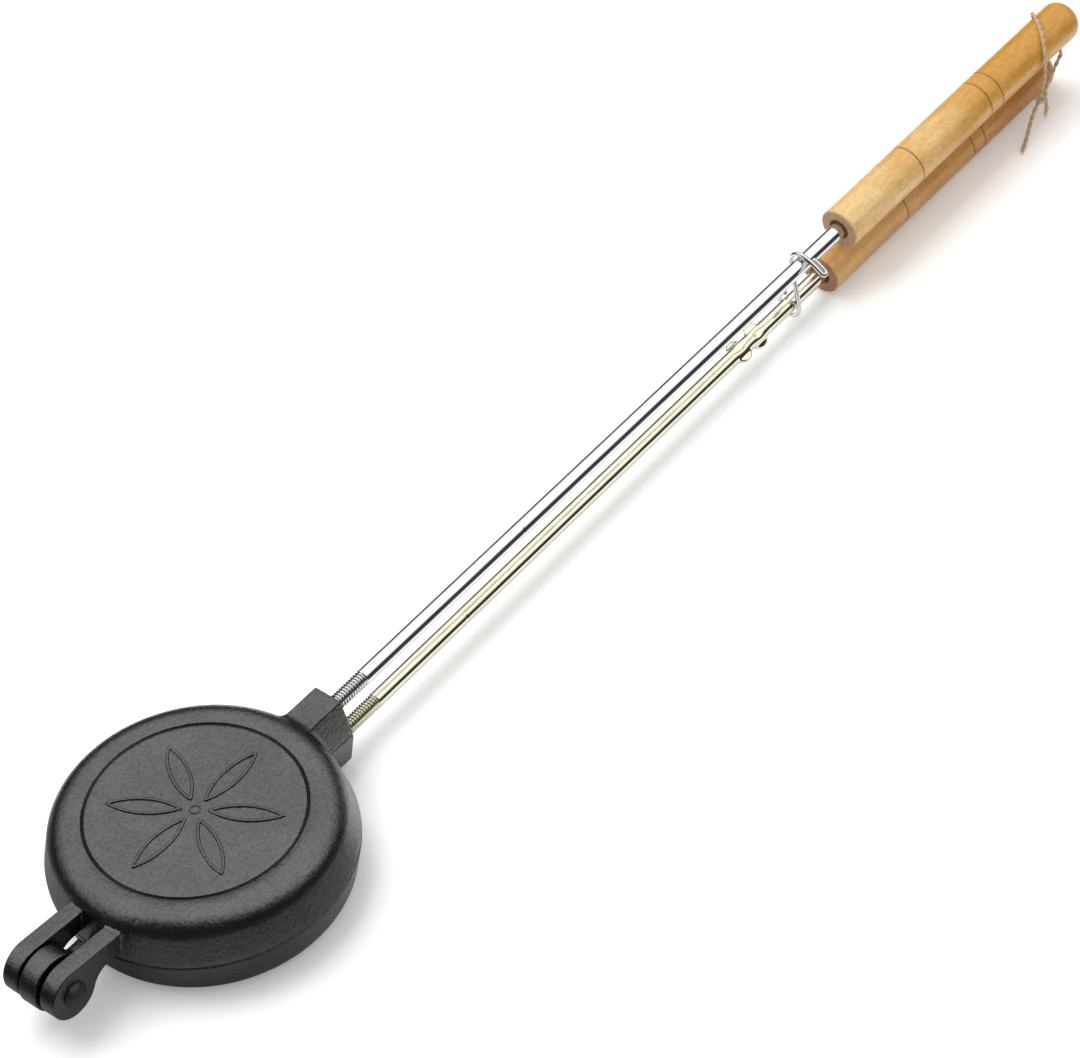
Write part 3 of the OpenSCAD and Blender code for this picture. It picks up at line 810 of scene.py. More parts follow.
def crimp_ears(rods, s, a, at, turned):
    """How far a crimp stands out of a rod: two thin ears, each part of a disc, on opposite sides, and the dents
    that the pliers left between them."""
    half, rise = rods.crimp_half, rods.crimp_rise
    disc = (half ** 2 + rise ** 2) / (2 * rise)
    high = np.clip(np.sqrt(np.clip(disc ** 2 - (s - at) ** 2, 0, None)) - (disc - rise), 0, None)
    across = np.abs(np.sin(a - np.radians(turned)))
    ears = high / (1 + (across * (rods.radius + high / 2) / rods.crimp_width) ** 4)
    dent = rods.crimp_dent * np.exp(-((s - at) / (0.7 * half)) ** 2) * across ** 6
    return ears - dent


def rod(settings, upper):
    """A rod with its thread, clamp mark and, on the lower one, two crimps: radius r(s, a) at distance s along the
    rod from the boss and angle a round it."""
    rods, handles = settings.rods, settings.handles
    end = (handles.upper_at if upper else handles.lower_at) + rods.seat
    thread = rods.upper_thread if upper else rods.lower_thread
    nick = rods.upper_nick if upper else rods.lower_nick
    crimps = [] if upper else list(zip((rods.crimp_at, rods.crimp_at + rods.crimp_step), CRIMP_TURNS))
    start = 0.5 * MM - settings.boss.tap_depth
    rows = [np.linspace(start, end, 72), np.arange(-2.5 * MM, thread + rods.pitch, rods.pitch / 14),
            nick + np.linspace(-2 * MM, 2 * MM, 21)]
    rows += [at + np.linspace(-1.2, 1.2, 45) * rods.crimp_half for at, _ in crimps]
    s = np.unique(np.round(np.concatenate(rows), 5))[:, None]
    a = np.linspace(0, 2 * np.pi, 64 if upper else 96, endpoint=False)[None, :]
    r = rods.radius - thread_groove(rods, s, a, thread)
    facing = np.clip(np.cos(a - np.radians(NICK_FACING)), 0, 1) ** 3
    r = r - rods.nick_depth * np.exp(-((s - nick) / (0.45 * MM)) ** 2) * facing
    for at, turned in crimps:
        r = r + crimp_ears(rods, s, a, at, turned)
    r = np.vstack((0 * r[:1], r, 0 * r[:1]))
    s = np.vstack((s[:1], s, s[-1:]))
    grid = np.stack((r * np.cos(a), r * np.sin(a), np.broadcast_to(s, r.shape)), axis=-1)
    way, origin = rod_place(rods, settings.head, settings.boss, upper)
    return skin("upper_plated_rod" if upper else "lower_plated_rod", [placed(grid, way, origin)])


def handle(settings, upper):
    """A handle: its section, from the bottom of the rod's hole over the mouth, near face and turned lines to the
    rounded far end, turned about the rod. burn marks the lines and end marks wood cut across the grain."""
    rods, sizes = settings.rods, settings.handles
    radius, long = sizes.radius, sizes.long
    shift = 0 if upper else sizes.line_shift
    lines = np.array([sizes.line_1, sizes.line_2, sizes.line_2 + sizes.line_gap]) + shift
    half = sizes.line_width / 2
    z = np.linspace(sizes.near_edge, long - sizes.tip, 60)
    near_line = lines[:, None] + half * np.linspace(-1.5, 1.5, 13)
    z = np.unique(np.round(np.concatenate((z, near_line.ravel())), 6))
    off = np.abs(z[:, None] - lines).min(axis=1)
    body = np.column_stack((radius - sizes.line_depth * np.sqrt(np.clip(1 - off / half, 0, 1)), z))
    t = np.radians(np.linspace(0, 90, 15))[1:]
    tip = np.column_stack((radius * np.cos(t), long - sizes.tip * (1 - np.sin(t))))
    tip[-1, 0] = 0
    hole = rods.radius + 0.04 * MM
    lip = 0.35 * MM
    inside = [[0, rods.seat + MM], [hole, rods.seat + MM], [hole, sizes.mouth_depth],
              [sizes.mouth - lip, sizes.mouth_depth], [sizes.mouth, sizes.mouth_depth - lip], [sizes.mouth, lip]]
    mouth = arc((sizes.mouth + lip, lip), lip, 180, 270, 4)[1:]
    edge = arc((radius - sizes.near_edge, sizes.near_edge), sizes.near_edge, -90, 0, 5)[:-1]
    face = np.column_stack((np.linspace(mouth[-1, 0], edge[0, 0], 5)[1:-1], np.zeros(3)))
    profile = np.vstack((inside, mouth, face, edge, body, tip))
    cut = len(inside) + len(mouth) + len(face) + len(edge)
    burn = np.concatenate((np.zeros(cut), np.clip(1.25 - off / half, 0, 1), np.zeros(len(tip))))
    end = np.concatenate((np.ones(cut - 3), [0.85, 0.5, 0.15], np.zeros(len(body)), np.sin(t) ** 3))
    phase = 0.0 if upper else 2.0

    def turned(r, height, a):
        wave = np.sin(2 * a + phase) + 0.6 * np.sin(a + 47 * height + phase)
        return 0.05 * MM * wave * smooth(r, sizes.mouth, radius)

    way, origin = rod_place(rods, settings.head, settings.boss, upper)
    at = sizes.upper_at if upper else sizes.lower_at
    grid = placed(revolved(profile + [0, at], 96, turned), way, origin)
    wood = skin("upper_grip" if upper else "lower_grip", [grid], {"burn": [burn[:, None]], "end": [end[:, None]]}, 50)
    if not upper:
        return wood
    across = way @ turn("Z", 90 + np.degrees(sizes.hole_tilt)) @ turn("Y", 90)
    centre = origin + way @ np.array([0, 0, at + long - sizes.hole_from_tip])
    drill = skin("drill", [bore(sizes.hole, -2 * radius, 2 * radius, across, centre)])
    return shaded(boolean(wood, drill, "DIFFERENCE"), 50)


# Latch and twine


def latch(settings):
    """The latch, bent from one wire in a leaning plane across the rods: an eye round the lower rod, a run between
    the rods, a hook over the upper rod, and a thumb bend that turns the wire back on itself."""
    rods, sizes = settings.rods, settings.latch
    bend = rods.radius + sizes.gap + sizes.wire
    rise = (rods.spacing + (rods.upper_rise + rods.lower_fall) * sizes.at) / np.cos(np.radians(sizes.lean))
    far = np.array([-rods.lower_side * sizes.at, rise])
    apart = np.linalg.norm(far)
    toward = np.degrees(np.arctan2(far[1], far[0]))
    touch = toward + np.degrees(np.arccos(2 * bend / apart))
    hook_end = toward + sizes.hook_over
    reach_out = apart + bend
    steps = 72
    eye = arc((0, 0), bend, touch + sizes.eye_sweep, touch, steps)
    hook = arc(far, bend, touch - 180, toward, steps)
    over = arc((0, 0), reach_out, toward, hook_end, steps // 4)
    flat = np.vstack((eye, hook[1:], over[1:]))
    flat = np.column_stack((flat, np.zeros(len(flat))))
    turn_by = np.radians(np.linspace(-90, 90, 25))[1:, None]
    end = np.radians(hook_end)
    root = np.array([reach_out * np.cos(end), reach_out * np.sin(end), sizes.tab / 2])
    onward = np.array([-np.sin(end), np.cos(end), 0])
    thumb = root + sizes.tab / 2 * (np.cos(turn_by) * onward + np.sin(turn_by) * np.array([0, 0, 1]))
    back = arc((0, 0), reach_out, hook_end, hook_end - sizes.tab_back, steps // 4)[1:]
    back = np.column_stack((back, np.full(len(back), sizes.tab)))
    path = np.vstack((flat, thumb, back))
    path = resample(path, int(distances(path)[-1] / STEP))
    way, origin = rod_place(rods, settings.head, settings.boss, False)
    plane = way @ turn("Y", -90) @ turn("Y", sizes.lean) @ turn("Z", 90) @ turn("X", 90)
    grid, _ = tube(path, sizes.wire, 24, ends=5)
    return skin("latch", [placed(grid, plane, origin + way @ np.array([0, 0, sizes.at]))])


def spline(route, step):
    """A Catmull-Rom curve through the points of a route, in millimetres, as a path in metres at even steps."""
    p = np.asarray(route, float) * MM
    p = np.vstack((2 * p[0] - p[1], p, 2 * p[-1] - p[-2]))
    t = np.linspace(0, 1, 24, endpoint=False)[None, :, None]
    a, b, c, d = (p[k:len(p) - 3 + k, None] for k in range(4))
    curve = 0.5 * (2 * b + (c - a) * t + (2 * a - 5 * b + 4 * c - d) * t ** 2 + (3 * b - a - 3 * c + d) * t ** 3)
    curve = np.vstack((curve.reshape(-1, 3), p[-2]))
    return resample(curve, int(distances(curve)[-1] / step) + 1)


def two_ply(radius, lay):
    """Radius of a twine of two plies at distance s and angle a: with f = a - 2 pi s / lay, a ply is a circle of
    radius b whose middle stands c from the axis, c |cos f| + sqrt(b^2 - c^2 sin^2 f)."""
    c, b = 0.38 * radius, 0.62 * radius

    def shape(s, a):
        f = a - 2 * np.pi * s / lay
        return c * np.abs(np.cos(f)) + np.sqrt(b ** 2 - (c * np.sin(f)) ** 2)

    return shape


def strand_marks(s, columns, lay):
    """Marks on each point of a twine: the sine and cosine of its place round its plies, and its distance along."""
    f = np.linspace(0, 2 * np.pi, columns, endpoint=False)[None, :] - 2 * np.pi * s[:, None] / lay
    return {"ply_x": [np.sin(f)], "ply_y": [np.cos(f)], "ply_s": [s[:, None]]}


def twine(name, route, sizes):
    """A length of two-ply twine along a route, and its path."""
    path = spline(route, STEP)
    grid, s = tube(path, sizes.radius, TWINE_COLUMNS, two_ply(sizes.radius, sizes.lay))
    return skin(name, [grid], strand_marks(s, TWINE_COLUMNS, sizes.lay), TWINE_ANGLE), path


def knot(sizes):
    """The knot: a trefoil of twine, (sin t + 2 sin 2t, cos t - 2 cos 2t, -sin 3t), drawn up tight."""
    t = np.linspace(0, 2 * np.pi, 241)
    scale = (sizes.knot - sizes.radius) / 3
    path = scale * np.column_stack((
        np.sin(t) + 2 * np.sin(2 * t), np.cos(t) - 2 * np.cos(2 * t), -1.6 * np.sin(3 * t)))
    along = unit(np.column_stack((
        np.cos(t) + 4 * np.cos(2 * t), -np.sin(t) + 4 * np.sin(2 * t), -4.8 * np.cos(3 * t))))
    s = distances(path)
    lay = s[-1] / round(s[-1] / sizes.lay)
    a = np.linspace(0, 2 * np.pi, TWINE_COLUMNS, endpoint=False)[None, :]
    side = unit(np.cross(along, np.array([0, 0, 1])))
    grid = rings_on(path, along, side, two_ply(sizes.radius, lay)(s[:, None], a))
    way = turn("Z", 20) @ turn("Y", 60) @ turn("X", 25)
    grid = placed(grid, way, np.array(KNOT_AT) * MM)
    return skin("knot", [grid], strand_marks(s, TWINE_COLUMNS, lay), TWINE_ANGLE)


def hair(root, way, bow, long, thick):
    """Grid of one loose fibre: root + way long t + bow t^2, drawn to a point."""
    t = np.linspace(0, 1, 6)[:, None]
    path = root + way * long * t + bow * t ** 2
    a = np.radians([0, 120, 240])
    side = unit(np.cross(way, np.array([0.3, 0.5, 0.8])))
    over = np.cross(way, side)
    ring = np.cos(a)[:, None] * side + np.sin(a)[:, None] * over
    return path[:, None] + thick * (1 - t[..., None]) * ring


def fuzz(name, path, sizes, seed):
    """Loose fibres on a length of twine: short ones all along it, and a spray where its end has frayed."""
    rng = np.random.default_rng(seed)
    along = unit(np.gradient(path, axis=0))
    grids = []
    for _ in range(sizes.fibres):
        n = rng.integers(12, len(path))
        out = unit(np.cross(along[n], rng.normal(size=3)))
        way = unit(out + along[n] * rng.normal(0, 1.1))
        grids.append(hair(path[n] + out * 0.8 * sizes.radius, way, rng.normal(0, 0.5, 3) * MM,
                          rng.uniform(0.5, 1.9) * MM, 0.045 * MM))
    for _ in range(sizes.fibres // 2):
        way = unit(along[-1] + rng.normal(0, 0.16, 3))
        root = path[-1] - along[-1] * MM + rng.normal(0, 0.3, 3) * sizes.radius
        grids.append(hair(root, way, rng.normal(0, 0.5, 3) * MM, rng.uniform(2.2, 4.6) * MM, 0.09 * MM))
    for grid in grids:
        grid[..., 2] = np.maximum(grid[..., 2], 0.1 * MM)
    return skin(name, grids)


# Materials


def fresh(name):
    """A new material's node tree and its Principled shader, after the material itself."""
    material = bpy.data.materials.new(name)
    material.use_nodes = True
    tree = material.node_tree
    return material, tree, tree.nodes["Principled BSDF"]


def put(tree, socket, value):
    """Links a socket's value, if it comes from another socket, or sets it."""
    if isinstance(value, bpy.types.NodeSocket):
        tree.links.new(value, socket)
    elif socket.type == "RGBA":
        socket.default_value = (*value, 1.0)
    else:
        socket.default_value = value


def node(tree, kind, inputs=None, out=0, **settings):
    """One output of a new node, with some of its inputs set or linked."""
    made = tree.nodes.new(kind)
    for key, value in settings.items():
        setattr(made, key, value)
    for key, value in (inputs or {}).items():
        put(tree, made.inputs[key], value)
    return made.outputs[out]


def paint(tree, shader, **values):
    """Sets or links the Principled shader's inputs, whose names have underscores for spaces."""
    for key, value in values.items():
        put(tree, shader.inputs[key.replace("_", " ")], value)


def spots(tree, scale, detail=3.0, rough=0.55, place=None):
    """Noise on the object's own coordinates, scaled along each axis, in waves per metre."""
    place = place or node(tree, "ShaderNodeTexCoord", out="Object")
    wide = node(tree, "ShaderNodeMapping", {"Vector": place, "Scale": scale})
    return node(tree, "ShaderNodeTexNoise", {"Vector": wide, "Scale": 1.0, "Detail": detail, "Roughness": rough})


def ramp(tree, value, low, high, a=0.0, b=1.0):
    """A number carried from low..high to a..b, and held past both ends."""
    return node(tree, "ShaderNodeMapRange", {
        "Value": value, "From Min": low, "From Max": high, "To Min": a, "To Max": b})


def mixed(tree, share, a, b):
    """A colour between two colours."""
    return node(tree, "ShaderNodeMix", {0: share, 6: a, 7: b}, out=2, data_type="RGBA")


def sums(tree, operation, a, b):
    """Arithmetic on two numbers."""
    return node(tree, "ShaderNodeMath", {0: a, 1: b}, operation=operation)


def bumped(tree, height, distance):
    """A bump, whose height of 1 stands for a distance."""
    return node(tree, "ShaderNodeBump", {"Height": height, "Distance": distance, "Strength": 1.0})


def axes(tree, output="Object"):
    """X, Y and Z of a texture coordinate."""
    parts = tree.nodes.new("ShaderNodeSeparateXYZ")
    tree.links.new(node(tree, "ShaderNodeTexCoord", out=output), parts.inputs[0])
    return tuple(parts.outputs)


def squared(tree, x, y):
    """x^2 + y^2."""
    return sums(tree, "ADD", sums(tree, "MULTIPLY", x, x), sums(tree, "MULTIPLY", y, y))


def mark(tree, name):
    """A number that the mesh carries on its points."""
    return node(tree, "ShaderNodeAttribute", out="Fac", attribute_name=name)


def shades(colour, factor):
    """A colour made lighter or darker."""
    return tuple(min(1.0, c * factor) for c in colour)


def cast_iron(head, finish):
    """Seasoned iron: the grain of the sand mould, slow changes of shade, a satin film of burnt oil, and painted shade
    in the engraved rings, which lie near both faces at the distance sqrt(x^2 + y^2) from the middle."""
    material, tree, shader = fresh("cast_iron")
    grain = spots(tree, (900, 900, 900), 3.0, 0.6)
    pits = spots(tree, (340, 340, 340), 2.0, 0.5)
    shade = spots(tree, (45, 45, 45), 3.0, 0.6)
    colour = mixed(tree, ramp(tree, shade, 0.3, 0.7), shades(finish.iron, 0.88), shades(finish.iron, 1.12))
    colour = mixed(tree, ramp(tree, grain, 0.4, 0.72, 0.0, 0.5), colour, shades(finish.iron, 0.45))
    x, y, z = axes(tree)
    distance = sums(tree, "POWER", squared(tree, x, y), 0.5)
    off = sums(tree, "ABSOLUTE", sums(tree, "SUBTRACT", distance, head.ring_radius), 0.0)
    deep = sums(tree, "ABSOLUTE", sums(tree, "SUBTRACT", z, head.half_height), 0.0)
    # Painted shade: the iron is darkened in the engraved rings, standing in for the shade inside the groove
    ring_groove_shade = sums(tree, "MULTIPLY", ramp(tree, off, 0.42 * head.ring_width, 0.15 * head.ring_width),
                ramp(tree, deep, head.half_height - 1.2 * MM, head.half_height - MM))
    colour = mixed(tree, ring_groove_shade, colour, shades(finish.iron, 0.2))
    height = sums(tree, "ADD", grain, sums(tree, "MULTIPLY", pits, 0.9))
    paint(tree, shader, Base_Color=colour, Metallic=1.0, Roughness=ramp(tree, grain, 0.3, 0.7, 0.24, 0.36),
          Normal=bumped(tree, height, 0.17 * MM))
    return material


def black_iron(finish):
    """The rivet's scale: darker and smoother than the castings."""
    material, tree, shader = fresh("black_iron")
    grain = spots(tree, (700, 700, 700))
    paint(tree, shader, Base_Color=mixed(tree, grain, finish.rivet, shades(finish.rivet, 2.2)), Metallic=0.4,
          Roughness=ramp(tree, grain, 0.3, 0.7, 0.3, 0.5), Normal=bumped(tree, grain, 0.09 * MM))
    return material


def zinc(name, colour):
    """Bright zinc plate on drawn rod: fine draw lines along the rod, and small dull specks."""
    material, tree, shader = fresh(name)
    lines = spots(tree, (22, 2600, 2600), 2.0, 0.5)
    specks = spots(tree, (500, 900, 900), 3.0, 0.65)
    cloud = spots(tree, (35, 160, 160), 3.0, 0.6)
    tone = mixed(tree, ramp(tree, cloud, 0.35, 0.65), shades(colour, 0.93), colour)
    tone = mixed(tree, ramp(tree, specks, 0.62, 0.75, 0.0, 0.5), tone, shades(colour, 0.5))
    rough = sums(tree, "ADD", ramp(tree, cloud, 0.3, 0.7, 0.05, 0.11), ramp(tree, specks, 0.6, 0.75, 0.0, 0.15))
    paint(tree, shader, Base_Color=tone, Metallic=1.0, Roughness=rough, Normal=bumped(tree, lines, 0.012 * MM))
    return material


def bright_wire(finish):
    """Bright drawn wire with faint marks of the bending pins."""
    material, tree, shader = fresh("bright_wire")
    marks = spots(tree, (900, 900, 900), 3.0, 0.6)
    paint(tree, shader, Base_Color=mixed(tree, ramp(tree, marks, 0.6, 0.75), finish.wire, shades(finish.wire, 0.6)),
          Metallic=1.0, Roughness=ramp(tree, marks, 0.3, 0.7, 0.14, 0.3), Normal=bumped(tree, marks, 0.02 * MM))
    return material


def wood(finish, upper):
    """Stained and varnished hardwood, straw near the rods and honey towards the far end, and on the lower handle darker
    and redder by painted shade from the upper handle: long grain, flecks, short dark pores, burnt lines, and open grain
    wherever the wood is cut across."""
    material, tree, shader = fresh("wood_upper" if upper else "wood_lower_shaded")
    offset = node(tree, "ShaderNodeVectorMath", {
        0: node(tree, "ShaderNodeTexCoord", out="Object"), 1: (0.0 if upper else 0.31, 0.0, 0.02)}, operation="ADD")
    bands = spots(tree, (9, 330, 330), 4.0, 0.55, offset)
    fine = spots(tree, (140, 1300, 1300), 3.0, 0.6, offset)
    flecks = spots(tree, (420, 620, 620), 3.0, 0.65, offset)
    pores = spots(tree, (500, 3000, 3000), 1.0, 0.4, offset)
    far = ramp(tree, axes(tree)[0], *STAIN)
    blotch = spots(tree, (38, 110, 110), 2.0, 0.5, offset)
    # Painted shade: on the lower handle every wood colour is darkened and reddened, standing in for the upper handle's
    # shadow
    painted_shade = (1.0, 1.0, 1.0) if upper else LOWER_PAINTED_SHADE
    straw, honey, cut = (tuple(a * b for a, b in zip(colour, painted_shade))
                         for colour in (finish.straw, finish.honey, finish.end_grain))
    base = mixed(tree, sums(tree, "ADD", far, ramp(tree, blotch, 0.3, 0.7, -0.3, 0.3)), straw, honey)
    base = mixed(tree, ramp(tree, bands, 0.4, 0.7, 0.0, 0.4), base, mixed(tree, 0.35, base, finish.burn))
    base = mixed(tree, ramp(tree, flecks, 0.46, 0.7, 0.0, 0.5), base, mixed(tree, 0.5, base, finish.burn))
    base = mixed(tree, ramp(tree, flecks, 0.46, 0.3, 0.0, 0.15), base, shades(straw, 1.1))
    base = mixed(tree, ramp(tree, fine, 0.45, 0.75, 0.0, 0.25), base, mixed(tree, 0.5, base, finish.burn))
    base = mixed(tree, ramp(tree, pores, 0.7, 0.76, 0.0, 0.6), base, finish.burn)
    rings = spots(tree, (500, 1500, 700), 4.0, 0.6, offset)
    open_grain = mixed(tree, ramp(tree, rings, 0.35, 0.65), shades(cut, 0.7), shades(cut, 1.3))
    end, burn = mark(tree, "end"), mark(tree, "burn")
    base = mixed(tree, end, base, open_grain)
    base = mixed(tree, sums(tree, "MULTIPLY", burn, 0.85), base, finish.burn)
    rough = sums(tree, "ADD", 0.3, sums(tree, "MULTIPLY", end, 0.35))
    height = sums(tree, "ADD", sums(tree, "MULTIPLY", fine, 0.6), ramp(tree, pores, 0.6, 0.72, 0.5, 0.0))
    paint(tree, shader, Base_Color=base, Roughness=rough, Normal=bumped(tree, height, 0.05 * MM), Coat_Weight=0.25,
          Coat_Roughness=0.16)
    return material


def jute(finish):
    """Jute: fibres that run along each ply, and slow changes of shade."""
    material, tree, shader = fresh("jute")
    place = node(tree, "ShaderNodeCombineXYZ", {0: mark(tree, "ply_x"), 1: mark(tree, "ply_y"), 2: mark(tree, "ply_s")})
    strands = spots(tree, (7, 7, 420), 3.0, 0.6, place)
    shade = spots(tree, (260, 260, 260))
    colour = mixed(tree, ramp(tree, strands, 0.32, 0.68), shades(finish.twine, 0.5), shades(finish.twine, 1.5))
    colour = mixed(tree, ramp(tree, shade, 0.3, 0.7, 0.0, 0.3), colour, shades(finish.twine, 1.7))
    paint(tree, shader, Base_Color=colour, Roughness=0.85, Sheen_Weight=0.15, Normal=bumped(tree, strands, 0.2 * MM))
    return material


def loose_fibre(finish):
    """Single fibres: paler than the twine."""
    material, tree, shader = fresh("loose_fibre")
    shade = spots(tree, (900, 900, 900))
    paint(tree, shader, Roughness=0.8,
          Base_Color=mixed(tree, shade, shades(finish.twine, 1.1), shades(finish.twine, 2.0)))
    return material


def dressed(thing, material, slot, body, *nodes):
    """A piece with its material, the body that it moves with and the nodes it stands for. The slot argument is not
    used.
    """
    thing.data.materials.clear()
    thing.data.materials.append(material)
    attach(thing, body)
    if nodes:
        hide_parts(*nodes)
    return thing


# Operators


class PIEIRON_OT_camera(bpy.types.Operator):
    """Place the camera"""

    bl_idname = "pieiron.camera"
    bl_label = "Camera"

    def execute(self, context):
        stage = context.scene.pie_iron.stage
        camera = added("camera", bpy.data.cameras.new("camera"))
        camera.data.sensor_fit = "HORIZONTAL"
        camera.data.sensor_width = stage.sensor
        camera.data.lens = stage.focal
        camera.data.clip_end = 40
        aimed(camera, unit(np.array(stage.right)), -unit(np.array(stage.forward)), stage.camera)
        context.scene.camera = camera
        return {"FINISHED"}


class PIEIRON_OT_twine(bpy.types.Operator):
    """Build both ends of the twine, the knot and the loose fibres"""

    bl_idname = "pieiron.twine"
    bl_label = "Twine"

    def execute(self, context):
        settings = context.scene.pie_iron
        sizes = settings.twine
        yarn, fibre = jute(settings.finish), loose_fibre(settings.finish)
        bow = dressed(knot(sizes), yarn, "twine", "upper", "twine_knot")
        for name, route, seed, pieces in (("twine_long", LONG_ROUTE, 3, [bow]), ("twine_short", SHORT_ROUTE, 8, [])):
            thing, path = twine("hanging_" + name, route, sizes)
            dressed(thing, yarn, "twine", "upper", name)
            loose = dressed(fuzz("fibres_" + name, path, sizes, seed), fibre, "twine", "upper")
        return {"FINISHED"}


class PIEIRON_OT_castings(bpy.types.Operator):
    """Build the two cast halves of the head"""

    bl_idname = "pieiron.castings"
    bl_label = "Castings"

    def execute(self, context):
        settings = context.scene.pie_iron
        material = cast_iron(settings.head, settings.finish)
        for body in ("upper", "lower"):
            dressed(iron(settings, body == "upper"), material, "cast_iron", body, body + "_iron")
        return {"FINISHED"}


class PIEIRON_OT_rivet(bpy.types.Operator):
    """Build the rivet of the hinge"""

    bl_idname = "pieiron.rivet"
    bl_label = "Rivet"

    def execute(self, context):
        settings = context.scene.pie_iron
        dressed(rivet(settings.hinge), black_iron(settings.finish), "rivet_steel", "upper", "hinge_rivet")
        return {"FINISHED"}


class PIEIRON_OT_rods(bpy.types.Operator):
    """Build both rods"""

    bl_idname = "pieiron.rods"
    bl_label = "Rods"

    def execute(self, context):
        settings = context.scene.pie_iron
        finish = settings.finish
        dressed(rod(settings, True), zinc("zinc_upper", finish.upper_zinc), "zinc_upper_rod", "upper", "upper_rod")
        dressed(rod(settings, False), zinc("zinc_lower", finish.lower_zinc), "zinc_lower_rod", "lower", "lower_rod")
        return {"FINISHED"}


class PIEIRON_OT_handles(bpy.types.Operator):
    """Build both handles"""

    bl_idname = "pieiron.handles"
    bl_label = "Handles"

    def execute(self, context):
        settings = context.scene.pie_iron
        for body in ("upper", "lower"):
            upper = body == "upper"
            dressed(handle(settings, upper), wood(settings.finish, upper), "stained_wood", body, body + "_handle")
        return {"FINISHED"}


class PIEIRON_OT_latch(bpy.types.Operator):
    """Build the latch"""

    bl_idname = "pieiron.latch"
    bl_label = "Latch"

    def execute(self, context):
        settings = context.scene.pie_iron
        dressed(latch(settings), bright_wire(settings.finish), "bright_wire", "latch", "latch_wire")
        return {"FINISHED"}


class PIEIRON_OT_stage(bpy.types.Operator):
    """Lay the floor and set the light"""

    bl_idname = "pieiron.stage"
    bl_label = "Stage"

    def execute(self, context):
        stage = context.scene.pie_iron.stage
        context.scene.view_settings.view_transform = "Standard"
        floor(stage)
        sky(context.scene, stage)
        lamp(stage)
        return {"FINISHED"}


def floor(stage):
    """A wide white floor that the object lies on. What the camera sees of it is lifted a little, and what shiny
    things mirror of it is white only along the object and round its head, as if dark cards stood on both sides."""
    corners = [(-stage.floor, -stage.floor, 0), (stage.floor, -stage.floor, 0),
               (stage.floor, stage.floor, 0), (-stage.floor, stage.floor, 0)]
    mesh = bpy.data.meshes.new("floor")
    mesh.from_pydata(corners, [], [(0, 1, 2, 3)])
    thing = added("floor", mesh)
    material, tree, shader = fresh("floor")
    seen = node(tree, "ShaderNodeLightPath", out="Is Camera Ray")
    x, y, _ = axes(tree)
    along = ramp(tree, x, *STRIP_START)
    strip = sums(tree, "MULTIPLY", ramp(tree, y, *STRIP_NEAR), ramp(tree, y, *STRIP_FAR))
    disc = ramp(tree, squared(tree, x, y), *ROUND_HEAD, 0.0, 0.33)
    white = sums(tree, "MAXIMUM", sums(tree, "MULTIPLY", strip, along), disc)
    mirrored = sums(tree, "MULTIPLY", node(tree, "ShaderNodeLightPath", out="Is Glossy Ray"),
                    sums(tree, "SUBTRACT", 1.0, white))
    colour = mixed(tree, mirrored, (0.93, 0.93, 0.93), (0.05, 0.05, 0.05))
    paint(tree, shader, Base_Color=colour, Roughness=0.9, Specular_IOR_Level=0.0,
          Emission_Color=(1.0, 1.0, 1.0), Emission_Strength=sums(tree, "MULTIPLY", seen, stage.lift))
    mesh.materials.append(material)


def sky(scene, stage):
    """Even light from all round. What shiny things mirror is bright overhead and dark near the horizon, as in a
    room with a large soft box: it rises with z, later on the near side than on the far side."""
    world = bpy.data.worlds.new("sky")
    world.use_nodes = True
    tree = world.node_tree
    tree.nodes.clear()
    x, y, z = axes(tree, "Generated")
    far = ramp(tree, z, *FAR_RISE)
    near = ramp(tree, sums(tree, "ADD", z, sums(tree, "MULTIPLY", x, 0.5)), *NEAR_RISE)
    side = ramp(tree, sums(tree, "ADD", y, sums(tree, "MULTIPLY", x, 0.4)), -0.1, 0.1)
    bright = node(tree, "ShaderNodeMix", {0: side, 2: near, 3: far}, data_type="FLOAT")
    mirror = ramp(tree, bright, 0.0, 1.0, stage.dark, stage.bright)
    glossy = node(tree, "ShaderNodeLightPath", out="Is Glossy Ray")
    strength = node(tree, "ShaderNodeMix", {0: glossy, 2: stage.fill, 3: mirror}, data_type="FLOAT")
    back = node(tree, "ShaderNodeBackground", {"Color": (1.0, 1.0, 1.0), "Strength": strength})
    end = tree.nodes.new("ShaderNodeOutputWorld")
    tree.links.new(back, end.inputs["Surface"])
    scene.world = world


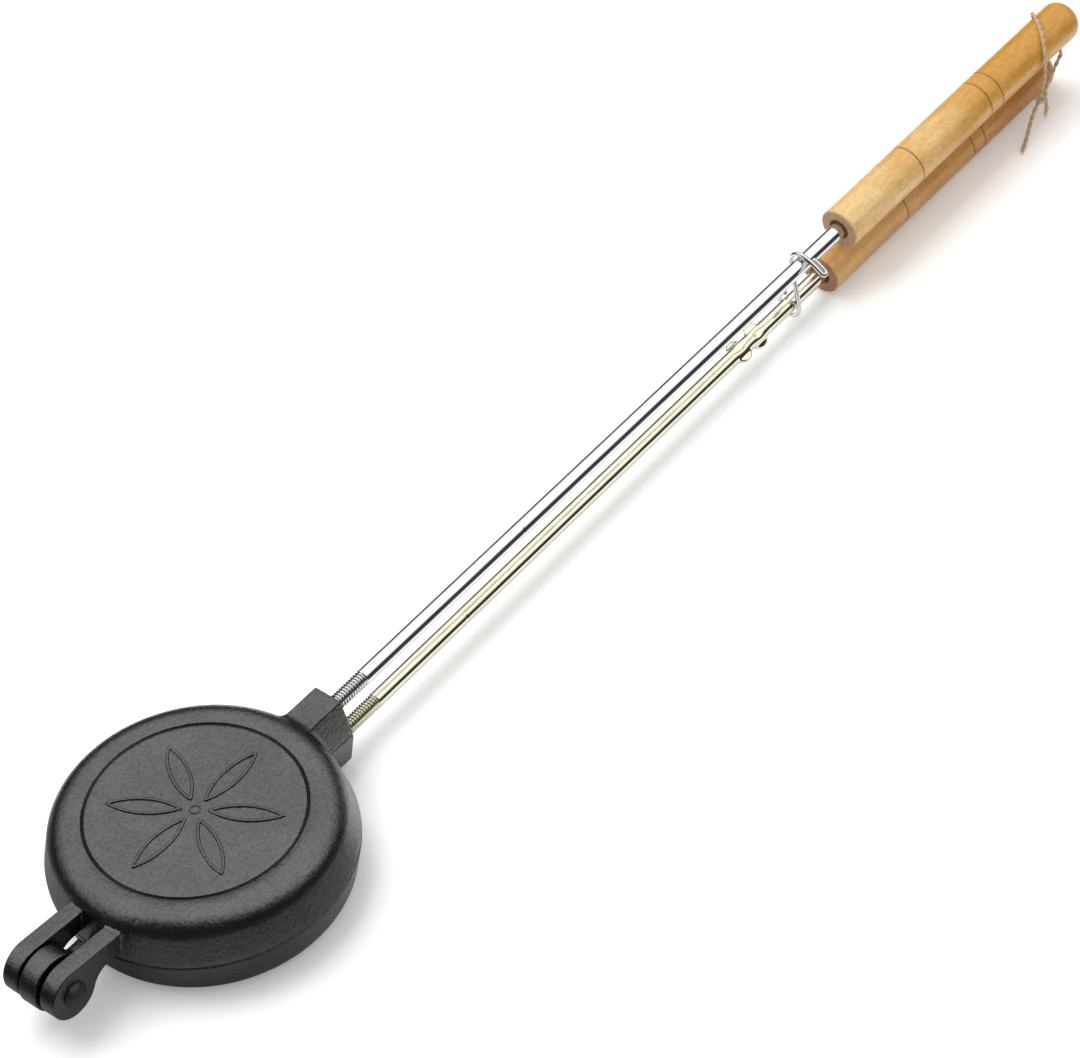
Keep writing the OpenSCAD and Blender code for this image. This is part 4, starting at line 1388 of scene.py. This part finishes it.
def lamp(stage):
    """A large soft lamp that hangs beyond the object and to its left, as the photograph's shadows show."""
    data = bpy.data.lights.new("key", "AREA")
    data.shape = "RECTANGLE"
    data.size, data.size_y = stage.lamp_size
    data.energy = stage.key
    thing = added("key", data)
    back = unit(np.array(stage.lamp) - np.array(stage.lamp_aim))
    aimed(thing, unit(np.cross(np.array([0.0, 0.0, 1.0]), back)), back, stage.lamp)
    thing.visible_glossy = False


OPERATORS = (
    PIEIRON_OT_camera, PIEIRON_OT_twine, PIEIRON_OT_castings, PIEIRON_OT_rivet, PIEIRON_OT_rods,
    PIEIRON_OT_handles, PIEIRON_OT_latch, PIEIRON_OT_stage,
)


class PIEIRON_PT_panel(bpy.types.Panel):
    """The pie iron's sizes and colours, and a button for each piece"""

    bl_idname = "PIEIRON_PT_panel"
    bl_label = "Pie Iron"
    bl_space_type = "VIEW_3D"
    bl_region_type = "UI"
    bl_category = "Pie Iron"

    def draw(self, context):
        for operator in OPERATORS:
            self.layout.operator(operator.bl_idname)
        settings = context.scene.pie_iron
        for name in PieIronSettings.__annotations__:
            group = getattr(settings, name)
            box = self.layout.box()
            box.label(text=name.capitalize())
            for key in type(group).__annotations__:
                box.prop(group, key)


CLASSES = (
    HeadSettings, HingeSettings, BossSettings, RodSettings, HandleSettings, LatchSettings, TwineSettings,
    FinishSettings, StageSettings, PieIronSettings, *OPERATORS, PIEIRON_PT_panel,
)


def register():
    for cls in CLASSES:
        bpy.utils.register_class(cls)
    bpy.types.Scene.pie_iron = PointerProperty(type=PieIronSettings)


def unregister():
    del bpy.types.Scene.pie_iron
    for cls in reversed(CLASSES):
        bpy.utils.unregister_class(cls)


def main():
    """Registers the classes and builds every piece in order."""
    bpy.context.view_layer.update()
    register()
    bpy.ops.pieiron.camera()
    bpy.ops.pieiron.twine()
    bpy.ops.pieiron.castings()
    bpy.ops.pieiron.rivet()
    bpy.ops.pieiron.rods()
    bpy.ops.pieiron.handles()
    bpy.ops.pieiron.latch()
    bpy.ops.pieiron.stage()


if __name__ == "__main__":
    main()
